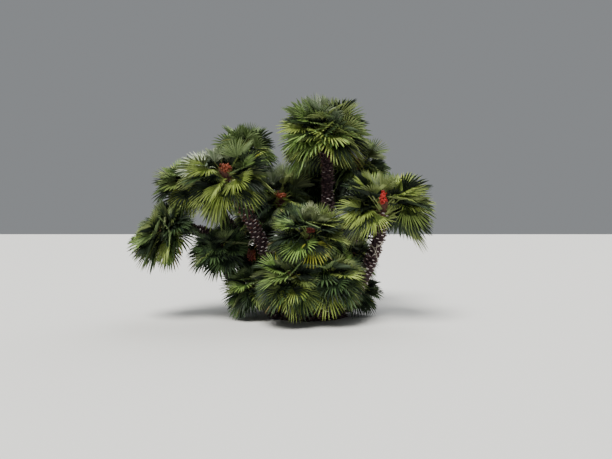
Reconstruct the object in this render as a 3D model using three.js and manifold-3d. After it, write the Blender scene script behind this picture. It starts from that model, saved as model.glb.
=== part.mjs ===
// Dwarf fan palm: a clump of leaning stems from one rootstock, each with a crown of fan-shaped fronds.
// Millimetres, +Z up. Ground level is Z = 0 and the origin is on the flat cut under the main stem.
import * as THREE from "three";
import { mergeVertices } from "three/addons/utils/BufferGeometryUtils.js";
import Module from "manifold-3d";

const { cos, sin, abs, min, max } = Math;
const UP = new THREE.Vector3(0, 0, 1);
const GOLDEN_ANGLE = Math.PI * (3 - Math.sqrt(5));
const SEAT_GAP = 0.3;
const LEAST_GAP = 0.5;
const FINEST_EDGE = 0.05;

// The rootstock is the main stem's root flare: a low lobed mound with a flat underside.
const ROOTSTOCK = {
  radius: 720,
  height: 290,
  edgeHeight: 30,
  sides: 18,
  rings: [1, 0.93, 0.72, 0.42],
  lobes: 5,
  lobeDepth: 0.07,
};
const FOOT_HEIGHT = 20;
const GROUND_BLOCK = { side: 4000, depth: 1000 };

// Stems taper from the foot to the leaf bases. A crown's girth scales its stem and its bosses.
const STEM = { sides: 8, rings: 7, footRadius: 122, topRadius: 98, flare: 24, flareShare: 0.17 };

// The leaf bases round a stem's tip are two bosses, one above the other, that carry the fronds.
const BOSS = { below: 230, split: 20, above: 165, radius: 96, tipRadius: 42, sides: 6 };

// A frond: a three-sided petiole and a fan-shaped blade of leaflets, notched towards its rib.
const FROND = {
  leaflets: 8,
  notchShare: 0.46,
  bladeShare: 0.57,
  hubThickness: 15,
  petioleHalfWidth: 17,
  petioleDepth: 22,
  hubHalfWidth: 12,
  sideShortening: 0.25,
  groundClear: 18,
  hubClear: 70,
};

// How a frond changes with age, from the youngest (0) to the oldest (1). Angles are in degrees.
const AGEING = {
  elevation: [82, -24],
  halfAngle: [36, 114],
  openedBy: 0.22,
  young: 0.56,
  grownBy: 0.4,
  cup: [16, -4],
  fold: [26, 10],
  bladeDroop: [0.05, 0.55],
  tipSag: [0.02, 0.2],
  petioleSag: [0.02, 0.1],
};
const SCATTER = { azimuth: 8, elevation: 8, roll: 38, length: 0.07, droop: 0.2 };

// Fronds that lift more than this above their stem's cross-section sit in the upper boss.
const TIER_ELEVATION = 13;
const UPPER_START = 60;
const SKIRT_START = -52;
const SKIRT_START_DROP = 30;
const LARGEST_LIFT_TURN = 30;

// A frond keeps to its crown's own room and is left out where less than this share of it would fit.
const ROOM_SHARE = 1.25;
const SMALLEST_SHARE = 0.5;
const BLADE_MOST_OF_ROOM = 0.8;
const SHORTER_BLADES = [1, 0.86, 0.72, 0.58];
const BLADE_ROLLS = [0, 25, -25, 45, -45];
const FUSED_SHARE = 0.6;

// The solids carry every third frond of the spiral.
const FROND_STRIDE = 3;

const BARK_COLOUR = 0x5a4636;
const FROND_COLOURS = { upper: 0x5f8040, skirt: 0x86963f };

const point = (x, y, z) => new THREE.Vector3(x, y, z);

// One entry for each stem: where its foot stands, a point halfway along it, its crown's heart, how far the
// fronds reach, how many the spiral holds, the girth, how long the youngest are and how low the oldest
// petioles hang where that isn't the usual, how much higher the oldest stand at the front, and the fruit
// with its place from the heart.
const CROWNS = [
  {
    name: "main",
    foot: [110, 50], via: [335, 150, 1670], heart: [285, 200, 3260],
    reach: 900, fronds: 46, young: 0.74,
  },
  {
    name: "front",
    foot: [20, -330], via: [10, -720, 760], heart: [10, -1000, 1450],
    reach: 680, fronds: 40,
    fruit: { at: [10, -150, 70], size: [70, 45, 50] },
  },
  {
    name: "low_front_left",
    foot: [-210, -490], via: [-260, -850, 400], heart: [-270, -1080, 760],
    reach: 650, fronds: 38, girth: 0.85, lowest: -36,
  },
  {
    name: "low_front_right",
    foot: [230, -450], via: [300, -760, 430], heart: [340, -930, 790],
    reach: 650, fronds: 38, girth: 0.85, lowest: -36,
  },
  {
    name: "right",
    foot: [450, -250], via: [980, -440, 850], heart: [1250, -700, 1880],
    reach: 900, fronds: 44, raised: 34,
    fruit: { at: [-40, -170, 165], size: [62, 62, 115] },
  },
  {
    name: "left",
    foot: [-280, -250], via: [-750, -470, 1200], heart: [-1340, -800, 2400],
    reach: 800, fronds: 44, lowest: -30,
    fruit: { at: [20, -190, 110], size: [95, 55, 65] },
  },
  {
    name: "far_left",
    foot: [-570, -110], via: [-1400, -150, 1200], heart: [-2430, -500, 1500],
    reach: 650, fronds: 38, girth: 0.9,
  },
  {
    name: "back_left",
    foot: [-430, 142], via: [-1300, 150, 1400], heart: [-2050, -100, 2330],
    reach: 700, fronds: 38,
  },
  {
    name: "upper_left",
    foot: [-255, 360], via: [-880, 660, 1650], heart: [-1210, 900, 3060],
    reach: 680, fronds: 38,
  },
  {
    name: "upper_right",
    foot: [300, 200], via: [810, 760, 1300], heart: [960, 880, 2800],
    reach: 700, fronds: 38,
    fruit: { at: [-30, -170, 90], size: [70, 45, 45] },
  },
  {
    name: "middle",
    foot: [30, 290], via: [-300, 600, 1100], heart: [-530, 800, 2120],
    reach: 760, fronds: 40, young: 0.96,
    fruit: { at: [20, -200, 50], size: [105, 50, 40] },
  },
  {
    name: "inner",
    foot: [-200, 50], via: [-390, 80, 660], heart: [-680, 110, 1300],
    reach: 600, fronds: 32, girth: 0.8,
  },
  {
    name: "low_left",
    foot: [-520, -400], via: [-800, -390, 300], heart: [-980, -420, 560],
    reach: 560, fronds: 28, girth: 0.75, lowest: -36,
  },
  {
    name: "low_right",
    foot: [580, -30], via: [760, -70, 250], heart: [880, -100, 450],
    reach: 460, fronds: 26, girth: 0.7, lowest: -36,
  },
  {
    name: "low_back_left",
    foot: [-560, 350], via: [-1220, 250, 450], heart: [-1480, -400, 1180],
    reach: 600, fronds: 30, girth: 0.8, lowest: -16,
  },
  {
    name: "low_back_right",
    foot: [590, 210], via: [750, 260, 540], heart: [840, 260, 1010],
    reach: 500, fronds: 28, girth: 0.8, lowest: -36,
  },
  {
    name: "back",
    foot: [150, 480], via: [180, 1050, 1120], heart: [140, 1420, 2420],
    reach: 800, fronds: 42,
  },
  {
    name: "back_right",
    foot: [460, 480], via: [620, 1000, 640], heart: [760, 1320, 1280],
    reach: 580, fronds: 32, girth: 0.85,
  },
  {
    name: "far_back",
    foot: [-335, 615], via: [-760, 1080, 900], heart: [-1030, 1500, 1800],
    reach: 640, fronds: 34, girth: 0.9,
  },
  {
    name: "low_back",
    foot: [-60, 640], via: [-260, 950, 380], heart: [-330, 1270, 720],
    reach: 600, fronds: 32, girth: 0.8, lowest: -36,
  },
];

// The old fruit bunch that hangs beside the left stem.
const HANGING_FRUIT = {
  stem: "left",
  top: [-790, -500, 1330],
  at: [-945, -560, 1100],
  size: [75, 60, 100],
};
const FRUIT = { stalkRadius: 14, stalkSides: 5, detail: 1 };

const wasm = await Module();
wasm.setup();

const radians = THREE.MathUtils.degToRad;
const { lerp, smoothstep } = THREE.MathUtils;

// The same sequence of numbers between -1 and 1 for the same seed.
function makeRandom(seed) {
  let state = seed >>> 0;
  return () => {
    state = (Math.imul(state, 1664525) + 1013904223) >>> 0;
    return state / 2 ** 31 - 1;
  };
}

function solidFrom(geometry) {
  geometry.deleteAttribute("normal");
  geometry.deleteAttribute("uv");
  const merged = mergeVertices(geometry, 1e-3);
  return new wasm.Manifold(
    new wasm.Mesh({
      numProp: 3,
      vertProperties: merged.attributes.position.array,
      triVerts: new Uint32Array(merged.index.array),
    }),
  );
}

// A closed skin over rings of points that all have the same number of points, with a flat face at each end.
function ringGeometry(rings) {
  const sides = rings[0].length;
  const last = (rings.length - 1) * sides;
  const faces = [];
  for (let ring = 0; ring < rings.length - 1; ring++) {
    for (let side = 0; side < sides; side++) {
      const a = ring * sides + side;
      const b = ring * sides + ((side + 1) % sides);
      faces.push(a, b, b + sides, a, b + sides, a + sides);
    }
  }
  for (let side = 1; side < sides - 1; side++) {
    faces.push(0, side + 1, side, last, last + side, last + side + 1);
  }
  return new THREE.BufferGeometry().setFromPoints(rings.flat()).setIndex(faces);
}

// A round limb along a curve. Its radius is a function of the share of the way along.
function limbSolid(curve, radiusAt, rings, sides) {
  const frames = curve.computeFrenetFrames(rings, false);
  const skin = [];
  for (let ring = 0; ring <= rings; ring++) {
    const share = ring / rings;
    const centre = curve.getPointAt(share);
    const points = [];
    for (let side = 0; side < sides; side++) {
      const angle = (2 * Math.PI * side) / sides;
      points.push(
        centre
          .clone()
          .addScaledVector(frames.normals[ring], radiusAt(share) * cos(angle))
          .addScaledVector(frames.binormals[ring], radiusAt(share) * sin(angle)),
      );
    }
    skin.push(points);
  }
  return solidFrom(ringGeometry(skin));
}

// The rootstock, grown outwards by a margin: the stems are cut clear of it.
function rootstockSolid(margin) {
  const ringAt = (spread, height) => {
    const points = [];
    for (let side = 0; side < ROOTSTOCK.sides; side++) {
      const angle = (2 * Math.PI * side) / ROOTSTOCK.sides;
      const lobe = 1 + ROOTSTOCK.lobeDepth * cos(ROOTSTOCK.lobes * angle);
      const radius = ROOTSTOCK.radius * lobe * spread + margin;
      points.push(point(radius * cos(angle), radius * sin(angle), height));
    }
    return points;
  };
  const heightAt = (spread) => ROOTSTOCK.edgeHeight + ROOTSTOCK.height * (1 - spread * spread) + margin;
  const skin = ROOTSTOCK.rings.map((spread) => ringAt(spread, heightAt(spread)));
  return solidFrom(ringGeometry([ringAt(1, -margin), ...skin]));
}

// The vectors and curve that a crown's stem and fronds are laid out on.
function layOut(crown, index) {
  const heart = point(...crown.heart);
  const foot = point(...crown.foot, FOOT_HEIGHT);
  const girth = crown.girth ?? 1;
  const bend = point(...crown.via)
    .multiplyScalar(2)
    .addScaledVector(foot, -0.5)
    .addScaledVector(heart, -0.5);
  const axis = heart.clone().sub(bend).normalize();
  const turn = min(axis.angleTo(UP) / 2, radians(LARGEST_LIFT_TURN));
  const turnAxis = axis.clone().cross(UP).normalize();
  const lift = axis.clone().applyAxisAngle(turnAxis, turn);
  const across = point(0, 1, 0).cross(lift).normalize();
  const along = lift.clone().cross(across);
  const tip = heart.clone().addScaledVector(axis, -(BOSS.below * girth + SEAT_GAP));
  const curve = new THREE.QuadraticBezierCurve3(foot, bend, tip);
  return { ...crown, index, heart, girth, axis, lift, across, along, curve };
}

// How far a frond may reach along a direction before it enters a neighbour's room. The wall between two
// crowns stands where the distance to each heart, less what its reach adds, is the same.
function roomAlong(crown, direction, crowns) {
  let room = Infinity;
  for (const other of crowns) {
    const toOther = other.heart.clone().sub(crown.heart);
    const along = toOther.dot(direction);
    if (other === crown || along <= 0) continue;
    const wall = (toOther.lengthSq() + crown.reach ** 2 - other.reach ** 2) / (2 * along);
    room = min(room, wall);
  }
  return room * ROOM_SHARE;
}

// The frond rule: every frond of a crown's golden-angle spiral, youngest first, as vectors and sizes.
function planFronds(crown, crowns) {
  const random = makeRandom(crown.index + 1);
  const highest = sin(radians(AGEING.elevation[0]));
  const lowest = sin(radians(crown.lowest ?? AGEING.elevation[1]));
  const plans = [];
  for (let number = 0; number < crown.fronds; number++) {
    const age = (number + 0.5) / crown.fronds;
    const [swing, raise, roll, stretch, limp] = [random(), random(), random(), random(), random()];
    const azimuth = number * GOLDEN_ANGLE + radians(SCATTER.azimuth) * swing;
    const outward = crown.across
      .clone()
      .multiplyScalar(cos(azimuth))
      .addScaledVector(crown.along, sin(azimuth));
    const raised = radians(crown.raised ?? 0) * age * max(0, -outward.y) ** 2;
    const elevation = Math.asin(lerp(highest, lowest, age)) + radians(SCATTER.elevation) * raise + raised;
    const direction = outward
      .clone()
      .multiplyScalar(cos(elevation))
      .addScaledVector(crown.lift, sin(elevation));
    const isUpper = direction.dot(crown.axis) > sin(radians(TIER_ELEVATION));
    const grown = lerp(crown.young ?? AGEING.young, 1, smoothstep(age, 0, AGEING.grownBy));
    const full = crown.reach * grown * (1 + SCATTER.length * stretch);
    const length = min(full, roomAlong(crown, direction, crowns));
    if (length < SMALLEST_SHARE * full) continue;

    const blade = min(full * FROND.bladeShare, length * BLADE_MOST_OF_ROOM);
    const petiole = length - blade;
    const startHeight = isUpper ? UPPER_START : SKIRT_START - SKIRT_START_DROP * direction.dot(crown.axis);
    const start = crown.heart.clone().addScaledVector(crown.axis, startHeight * crown.girth);
    const hub = start.clone().addScaledVector(direction, petiole);
    hub.z = max(hub.z - petiole * lerp(...AGEING.petioleSag, age), FROND.hubClear);
    const droop = lerp(...AGEING.bladeDroop, age) + SCATTER.droop * limp;
    const forward = direction.clone().addScaledVector(UP, -droop).normalize();
    const side = crown.lift.clone().cross(outward);
    side.addScaledVector(forward, -side.dot(forward)).normalize();
    side.applyAxisAngle(forward, radians(SCATTER.roll) * roll);
    const normal = forward.clone().cross(side);
    plans.push({ number, age, isUpper, start, hub, forward, side, normal, direction, blade });
  }
  return plans;
}

// A point of a frond's blade, at an angle from its midline and a distance from its hub.
function bladePoint(plan, angle, distance) {
  const rise = radians(lerp(...AGEING.cup, plan.age) + lerp(...AGEING.fold, plan.age) * abs(sin(angle)));
  const at = plan.hub
    .clone()
    .addScaledVector(plan.forward, distance * cos(angle) * cos(rise))
    .addScaledVector(plan.side, distance * sin(angle) * cos(rise))
    .addScaledVector(plan.normal, distance * sin(rise));
  const sag = (lerp(...AGEING.tipSag, plan.age) * distance * distance) / plan.blade;
  at.z = max(at.z - sag, FROND.groundClear);
  return at;
}

// One frond as a closed solid: a thin blade, thickest at its hub, that grows out of a three-sided petiole.
// With bareShare above 0 the solid starts that share of the way along the petiole.
function frondSolid(plan, bladeScale, bareShare) {
  const { hub, forward, side, normal, start } = plan;
  const halfAngle = radians(lerp(...AGEING.halfAngle, smoothstep(plan.age, 0, AGEING.openedBy)));
  const blade = plan.blade * bladeScale;
  const steps = FROND.leaflets * 2;
  const hubEdge = (way) =>
    hub
      .clone()
      .addScaledVector(side, way * FROND.hubHalfWidth)
      .addScaledVector(forward, -FROND.hubHalfWidth);
  const outline = [];
  for (let step = 0; step <= steps; step++) {
    const share = (step / steps) * 2 - 1;
    const tipDistance = blade * (1 - FROND.sideShortening * share * share);
    if (step === 0 || step === steps) outline.push(hubEdge(share));
    else {
      const reachShare = step % 2 ? 1 : FROND.notchShare;
      outline.push(bladePoint(plan, halfAngle * share, tipDistance * reachShare));
    }
  }

  const base = start.clone().lerp(hub, bareShare);
  const run = hub.clone().sub(start).normalize();
  const baseSide = side.clone().addScaledVector(run, -side.dot(run)).normalize();
  const baseNormal = run.clone().cross(baseSide);
  const points = [
    hub.clone().addScaledVector(normal, FROND.hubThickness / 2),
    hub.clone().addScaledVector(normal, -FROND.hubThickness / 2),
    base.clone().addScaledVector(baseSide, -FROND.petioleHalfWidth),
    base.clone().addScaledVector(baseSide, FROND.petioleHalfWidth),
    base.clone().addScaledVector(baseNormal, -FROND.petioleDepth),
    ...outline,
  ];
  const [top, keel, baseLeft, baseRight, baseKeel, first] = [0, 1, 2, 3, 4, 5];
  const last = first + steps;
  const faces = [
    [top, last, first],
    [baseLeft, first, last],
    [baseLeft, last, baseRight],
    [first, baseLeft, baseKeel],
    [first, baseKeel, keel],
    [baseRight, last, keel],
    [baseRight, keel, baseKeel],
    [baseLeft, baseRight, baseKeel],
  ];
  for (let step = first; step < last; step++) {
    faces.push([top, step, step + 1], [keel, step + 1, step]);
  }
  return solidFrom(new THREE.BufferGeometry().setFromPoints(points).setIndex(faces.flat()));
}

// A hexagonal boss of leaf bases between two heights along a crown's axis, measured from its heart.
function bossSolid(crown, low, high, lowRadius, highRadius) {
  const height = (high - low) * crown.girth;
  const geometry = new THREE.CylinderGeometry(
    highRadius * crown.girth,
    lowRadius * crown.girth,
    height,
    BOSS.sides,
  );
  const turn = new THREE.Quaternion().setFromUnitVectors(point(0, 1, 0), crown.axis);
  const centre = crown.heart.clone().addScaledVector(crown.axis, low * crown.girth + height / 2);
  return solidFrom(geometry.applyQuaternion(turn).translate(...centre.toArray()));
}

// A bunch of fruit on its stalk, from a point inside what carries it.
function fruitSolid(root, centre, size) {
  const ball = new THREE.IcosahedronGeometry(1, FRUIT.detail).scale(...size);
  const bunch = solidFrom(ball.translate(...centre.toArray()));
  const stalk = limbSolid(new THREE.LineCurve3(root, centre), () => FRUIT.stalkRadius, 1, FRUIT.stalkSides);
  return bunch.add(stalk);
}

function largestBody(solid) {
  return solid.decompose().reduce((best, body) => (body.volume() > best.volume() ? body : best));
}

function boxesMeet(a, b) {
  return [0, 1, 2].every((i) => a.min[i] <= b.max[i] + LEAST_GAP && b.min[i] <= a.max[i] + LEAST_GAP);
}

// The pieces that stand so far, each with its owner. Fronds of one owner run together at their petioles'
// inner ends alone, so each also has its outer part, which no other frond touches.
const placed = [];

function place(owner, solid, outer) {
  placed.push({ owner, solid, outer, box: solid.boundingBox() });
}

function isApart(a, b) {
  return a.minGap(b, 2 * LEAST_GAP) > LEAST_GAP;
}

function isClear(owner, solid, outer) {
  const box = solid.boundingBox();
  return placed.every((other) => {
    if (!boxesMeet(box, other.box)) return true;
    if (other.owner !== owner) return isApart(solid, other.solid);
    return !other.outer || (isApart(outer, other.solid) && isApart(solid, other.outer));
  });
}

function meshFrom(name, solid, colour, origin) {
  const body = largestBody(solid).simplify(FINEST_EDGE);
  const { vertProperties, triVerts } = body.translate(origin.clone().negate().toArray()).getMesh();
  const geometry = new THREE.BufferGeometry()
    .setAttribute("position", new THREE.BufferAttribute(vertProperties, 3))
    .setIndex(new THREE.BufferAttribute(triVerts, 1));
  const material = new THREE.MeshStandardMaterial({ color: colour, roughness: 0.8, flatShading: true });
  const mesh = new THREE.Mesh(geometry, material);
  mesh.name = name;
  mesh.position.copy(origin);
  return mesh;
}

const crowns = CROWNS.map(layOut);
const palm = new THREE.Group();
const rootstock = rootstockSolid(0);
const clearance = rootstockSolid(SEAT_GAP);
const belowGround = solidFrom(
  new THREE.BoxGeometry(GROUND_BLOCK.side, GROUND_BLOCK.side, GROUND_BLOCK.depth).translate(
    0,
    0,
    -GROUND_BLOCK.depth / 2,
  ),
);

// Stems: the main one stands on the rootstock in one piece, and the rest rise from it.
for (const crown of crowns) {
  const radiusAt = (share) =>
    crown.girth *
    (lerp(STEM.footRadius, STEM.topRadius, share) + STEM.flare * max(0, 1 - share / STEM.flareShare));
  const limb = limbSolid(crown.curve, radiusAt, STEM.rings, STEM.sides).subtract(belowGround);
  const isMain = crown.name === "main";
  let stem = isMain ? rootstock.add(limb) : limb.subtract(clearance);
  if (crown.name === HANGING_FRUIT.stem) {
    const { top, at, size } = HANGING_FRUIT;
    stem = stem.add(fruitSolid(point(...top), point(...at), size));
  }
  const origin = isMain ? point(0, 0, 0) : crown.curve.getPointAt(0);
  palm.add(meshFrom(crown.name + "_stem", stem, BARK_COLOUR, origin));
  place(crown.name + "_stem", stem);
}

// Bosses, with the fruit sunk into the upper one.
for (const crown of crowns) {
  const skirt = bossSolid(crown, -BOSS.below, BOSS.split, BOSS.radius, BOSS.radius);
  const upperLow = BOSS.split + SEAT_GAP / crown.girth;
  let upper = bossSolid(crown, upperLow, BOSS.above, BOSS.radius, BOSS.tipRadius);
  if (crown.fruit) {
    const root = crown.heart.clone().addScaledVector(crown.axis, UPPER_START);
    const centre = crown.heart.clone().add(point(...crown.fruit.at));
    upper = upper.add(fruitSolid(root, centre, crown.fruit.size));
  }
  place(crown.name + "_skirt", skirt);
  place(crown.name + "_upper", upper);
}

// A frond plan with its blade rolled about its own midline.
function rolled(plan, angle) {
  const side = plan.side.clone().applyAxisAngle(plan.forward, radians(angle));
  return { ...plan, side, normal: plan.forward.clone().cross(side) };
}

// Places a frond with the longest blade that keeps clear of its neighbours, or leaves it out.
function placeFrond(owner, plan) {
  for (const scale of SHORTER_BLADES) {
    for (const roll of BLADE_ROLLS) {
      const turned = rolled(plan, roll);
      const frond = frondSolid(turned, scale, 0);
      const outer = frondSolid(turned, scale, FUSED_SHARE);
      if (!isClear(owner, frond, outer)) continue;
      place(owner, frond, outer);
      return;
    }
  }
}

for (const crown of crowns) {
  for (const plan of planFronds(crown, crowns)) {
    if (plan.number % FROND_STRIDE !== 0) continue;
    const owner = crown.name + (plan.isUpper ? "_upper" : "_skirt");
    placeFrond(owner, plan);
  }
}

for (const crown of crowns) {
  for (const tier of ["upper", "skirt"]) {
    const owner = crown.name + "_" + tier;
    const pieces = placed.filter((piece) => piece.owner === owner).map((piece) => piece.solid);
    const fused = wasm.Manifold.union(pieces);
    palm.add(meshFrom(owner + "_fronds", fused, FROND_COLOURS[tier], crown.heart));
  }
}

export default palm;
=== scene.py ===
"""Finished looks for the dwarf fan palm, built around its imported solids.

Every frond of each crown's spiral is grown by the solids' own rule, written again here, and its blade
is carried on to separate folded leaflets with forked tips. Tables hold millimetres; meshes hold metres.
"""

import logging
import math
from dataclasses import dataclass
from enum import Enum
from typing import Optional, Union

import bpy
import numpy as np
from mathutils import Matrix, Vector


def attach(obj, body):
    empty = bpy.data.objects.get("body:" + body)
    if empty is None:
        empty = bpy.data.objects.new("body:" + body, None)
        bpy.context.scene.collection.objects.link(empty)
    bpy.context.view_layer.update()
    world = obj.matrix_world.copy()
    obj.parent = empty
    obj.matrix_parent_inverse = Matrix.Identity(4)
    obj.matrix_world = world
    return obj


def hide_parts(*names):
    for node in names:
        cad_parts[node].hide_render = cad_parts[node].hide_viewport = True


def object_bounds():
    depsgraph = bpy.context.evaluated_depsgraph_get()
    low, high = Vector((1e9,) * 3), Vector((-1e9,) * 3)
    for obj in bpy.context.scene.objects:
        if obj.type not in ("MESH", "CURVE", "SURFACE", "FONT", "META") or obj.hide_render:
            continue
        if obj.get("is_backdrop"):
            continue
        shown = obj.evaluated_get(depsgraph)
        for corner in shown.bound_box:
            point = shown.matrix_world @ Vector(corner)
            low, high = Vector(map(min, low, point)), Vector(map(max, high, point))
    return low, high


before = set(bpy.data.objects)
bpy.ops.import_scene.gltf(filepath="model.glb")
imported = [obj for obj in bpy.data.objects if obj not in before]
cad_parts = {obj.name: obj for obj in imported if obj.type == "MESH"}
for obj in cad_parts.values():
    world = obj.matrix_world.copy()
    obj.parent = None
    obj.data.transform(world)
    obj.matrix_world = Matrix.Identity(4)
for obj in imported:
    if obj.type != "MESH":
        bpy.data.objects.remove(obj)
cad_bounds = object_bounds()

Array = np.ndarray
Amount = Union[float, np.ndarray]
Triple = tuple[float, float, float]
log = logging.getLogger("palm")

MM = 0.001
BODY = "root"
UP = np.array([0.0, 0.0, 1.0])
BACKWARD = np.array([0.0, 1.0, 0.0])
TINY = 1e-6
NEARLY_UPRIGHT = 0.9
THIRDS_OF_A_TURN = np.arange(3) * 2 * math.pi / 3
LOWEST_BARK = 0.004
GROUND_CUT = 0.002
GOLDEN_ANGLE = math.pi * (3 - math.sqrt(5))
SURFACE_MAP = "Surface"


class Tone(Enum):
    """How light or dark a crown's fronds are painted: painted light on crowns that catch it, painted shade on
    crowns that lie in shade.
    """

    SUNNY = "sunny"
    FRESH = "fresh"
    # Fronds painted somewhat darker, as painted half shade.
    LOW = "low"
    SHADED = "shaded"


class LeafState(Enum):
    """The colour of a frond's blade: mostly its condition; the sunlit state is painted light, the deep and
    inner states are painted shade, and the silver state is silvery with a painted sheen.
    """

    YOUNG = "young"
    FRESH = "fresh"
    MATURE = "mature"
    # Dark green that mostly stands for painted shade, in shaded crowns and between fronds.
    DEEP = "deep"
    # Painted light: fronds painted lighter where light falls on them.
    SUNLIT = "sunlit"
    OLD = "old"
    DRY = "dry"
    # Silvery grey-green, its palest shade partly a painted sheen of sky light.
    SILVER = "silver"
    PALE = "pale"
    # Near black: painted shade deep inside a crown.
    INNER_SHADE = "inner"


class Tier(Enum):
    """Which of a crown's two frond nodes a frond belongs to."""

    UPPER = "upper"
    SKIRT = "skirt"


class Ripeness(Enum):
    """The colour and state of a bunch of fruit."""

    RED = "red"
    ORANGE = "orange"
    OLD = "old"


@dataclass(frozen=True)
class Bunch:
    """A bunch of fruit: where its middle lies from the crown's heart, and its half sizes."""

    at: Triple
    size: Triple
    ripeness: Ripeness = Ripeness.OLD
    taper: float = 0.0


@dataclass(frozen=True)
class Crown:
    """One stem and its crown: the solids' own sizes, and from the tone on those of the looks.

    Attributes:
        name: The start of its pieces' names.
        foot: Where its stem leaves the rootstock.
        via: The stem's halfway point.
        heart: The middle of the crown.
        reach: How far its longest fronds reach.
        fronds: How many fronds its spiral has.
        girth: The scale of its stem and stalks.
        lowest: The elevation of its oldest fronds, in degrees.
        young: The length of its youngest frond against a grown one's.
        raised: How many degrees higher the oldest fronds that face the viewer stand.
        fruit: Its bunch of fruit.
        tone: How much painted light and shade its fronds get.
        fall: How many degrees lower the oldest fronds between the solids' own hang.
        pale_cuts: The share of its leaf bases with a pale end, set higher where its trunk catches the light,
            so partly a painted highlight.
        red_from: The share of the stem's length from which leaf bases are reddish.
        has_spear: Whether a young frond stands up out of it.
        fruit_shows: How much of the room before the fruit is kept free of fronds.
        silver_sheened: The numbers of its silvery fronds, whose palest shade is partly a painted sheen.
        sunlit: The numbers of its fronds painted lighter, as painted light.
        yellowed: The numbers of its yellowed fronds.
    """

    name: str
    foot: tuple[float, float]
    via: Triple
    heart: Triple
    reach: float
    fronds: int
    girth: float = 1.0
    lowest: float = -24.0
    young: float = 0.56
    raised: float = 0
    fruit: Optional[Bunch] = None
    tone: Tone = Tone.SUNNY
    fall: float = 10
    pale_cuts: float = 0.3
    red_from: float = 0.84
    has_spear: bool = False
    fruit_shows: float = 1.0
    silver_sheened: tuple[int, ...] = ()
    sunlit: tuple[int, ...] = ()
    yellowed: tuple[int, ...] = ()


CROWNS = (
    Crown("main", (110, 50), (335, 150, 1670), (285, 200, 3260), 900, 46, young=0.74, tone=Tone.FRESH, fall=6,
          pale_cuts=0.35, silver_sheened=(7, 10, 15), sunlit=(18, 22, 25, 28, 36, 41), yellowed=(42,)),
    Crown("front", (20, -330), (10, -720, 760), (10, -1000, 1450), 680, 40, tone=Tone.LOW, fall=4,
          fruit=Bunch((10, -150, 70), (70, 45, 50)), has_spear=True, fruit_shows=0.45,
          sunlit=(13, 18, 21, 26), yellowed=(36,)),
    Crown("low_front_left", (-210, -490), (-260, -850, 400), (-270, -1080, 760), 650, 38, 0.85, -36,
          tone=Tone.LOW),
    Crown("low_front_right", (230, -450), (300, -760, 430), (340, -930, 790), 650, 38, 0.85, -36,
          tone=Tone.LOW, sunlit=(18,)),
    Crown("right", (450, -250), (980, -440, 850), (1250, -700, 1880), 900, 44, raised=34, fall=-6,
          pale_cuts=0.85, fruit=Bunch((-40, -170, 165), (62, 62, 115), Ripeness.RED, 0.6),
          sunlit=(2, 5, 7, 10, 13, 18, 20, 25, 28, 31)),
    Crown("left", (-280, -250), (-750, -470, 1200), (-1340, -800, 2400), 800, 44, lowest=-30,
          pale_cuts=0.75, red_from=0.62, fruit=Bunch((20, -190, 110), (95, 55, 65), Ripeness.ORANGE),
          silver_sheened=(1, 4, 7, 9, 12, 14, 15, 17), sunlit=(20, 28, 31, 33, 39)),
    Crown("far_left", (-570, -110), (-1400, -150, 1200), (-2430, -500, 1500), 650, 38, 0.9, tone=Tone.LOW,
          sunlit=(4, 9, 28)),
    Crown("back_left", (-430, 142), (-1300, 150, 1400), (-2050, -100, 2330), 700, 38),
    Crown("upper_left", (-255, 360), (-880, 660, 1650), (-1210, 900, 3060), 680, 38, tone=Tone.FRESH),
    Crown("upper_right", (300, 200), (810, 760, 1300), (960, 880, 2800), 700, 38, fall=30,
          fruit=Bunch((-30, -170, 90), (70, 45, 45))),
    Crown("middle", (30, 290), (-300, 600, 1100), (-530, 800, 2120), 760, 40, young=0.96, tone=Tone.LOW,
          fruit=Bunch((20, -200, 50), (105, 50, 40), Ripeness.ORANGE), silver_sheened=(4, 7, 12),
          sunlit=(10, 13, 15)),
    Crown("inner", (-200, 50), (-390, 80, 660), (-680, 110, 1300), 600, 32, 0.8, tone=Tone.SHADED),
    Crown("low_left", (-520, -400), (-800, -390, 300), (-980, -420, 560), 560, 28, 0.75, -36, tone=Tone.LOW),
    Crown("low_right", (580, -30), (760, -70, 250), (880, -100, 450), 460, 26, 0.7, -36, tone=Tone.SHADED),
    Crown("low_back_left", (-560, 350), (-1220, 250, 450), (-1480, -400, 1180), 600, 30, 0.8, -16,
          tone=Tone.SHADED),
    Crown("low_back_right", (590, 210), (750, 260, 540), (840, 260, 1010), 500, 28, 0.8, -36,
          tone=Tone.SHADED),
    Crown("back", (150, 480), (180, 1050, 1120), (140, 1420, 2420), 800, 42, tone=Tone.SHADED, pale_cuts=0.5,
          yellowed=(40,)),
    Crown("back_right", (460, 480), (620, 1000, 640), (760, 1320, 1280), 580, 32, 0.85, tone=Tone.LOW),
    Crown("far_back", (-335, 615), (-760, 1080, 900), (-1030, 1500, 1800), 640, 34, 0.9, pale_cuts=0.5,
          yellowed=(31,)),
    Crown("low_back", (-60, 640), (-260, 950, 380), (-330, 1270, 720), 600, 32, 0.8, -36, tone=Tone.LOW),
)


def lerp(low: Amount, high: Amount, share: Amount) -> Amount:
    """The value a share of the way from low to high."""
    return low + (high - low) * share


def smoothstep(value: float, low: float, high: float) -> float:
    """0 below low, 1 above high, and an even curve between."""
    share = min(1.0, max(0.0, (value - low) / (high - low)))
    return share * share * (3 - 2 * share)


def unit(vector: Array) -> Array:
    """Vectors scaled to length 1 along their last axis."""
    return vector / np.linalg.norm(vector, axis=-1, keepdims=True)


def turned(vector: Array, axis: Array, angle: float) -> Array:
    """A vector turned about an axis.

    Args:
        vector: The vector.
        axis: A unit direction.
        angle: The turn, in radians.

    Returns:
        The turned vector.
    """
    return (
        vector * math.cos(angle)
        + np.cross(axis, vector) * math.sin(angle)
        + axis * (axis @ vector) * (1 - math.cos(angle))
    )


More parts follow.
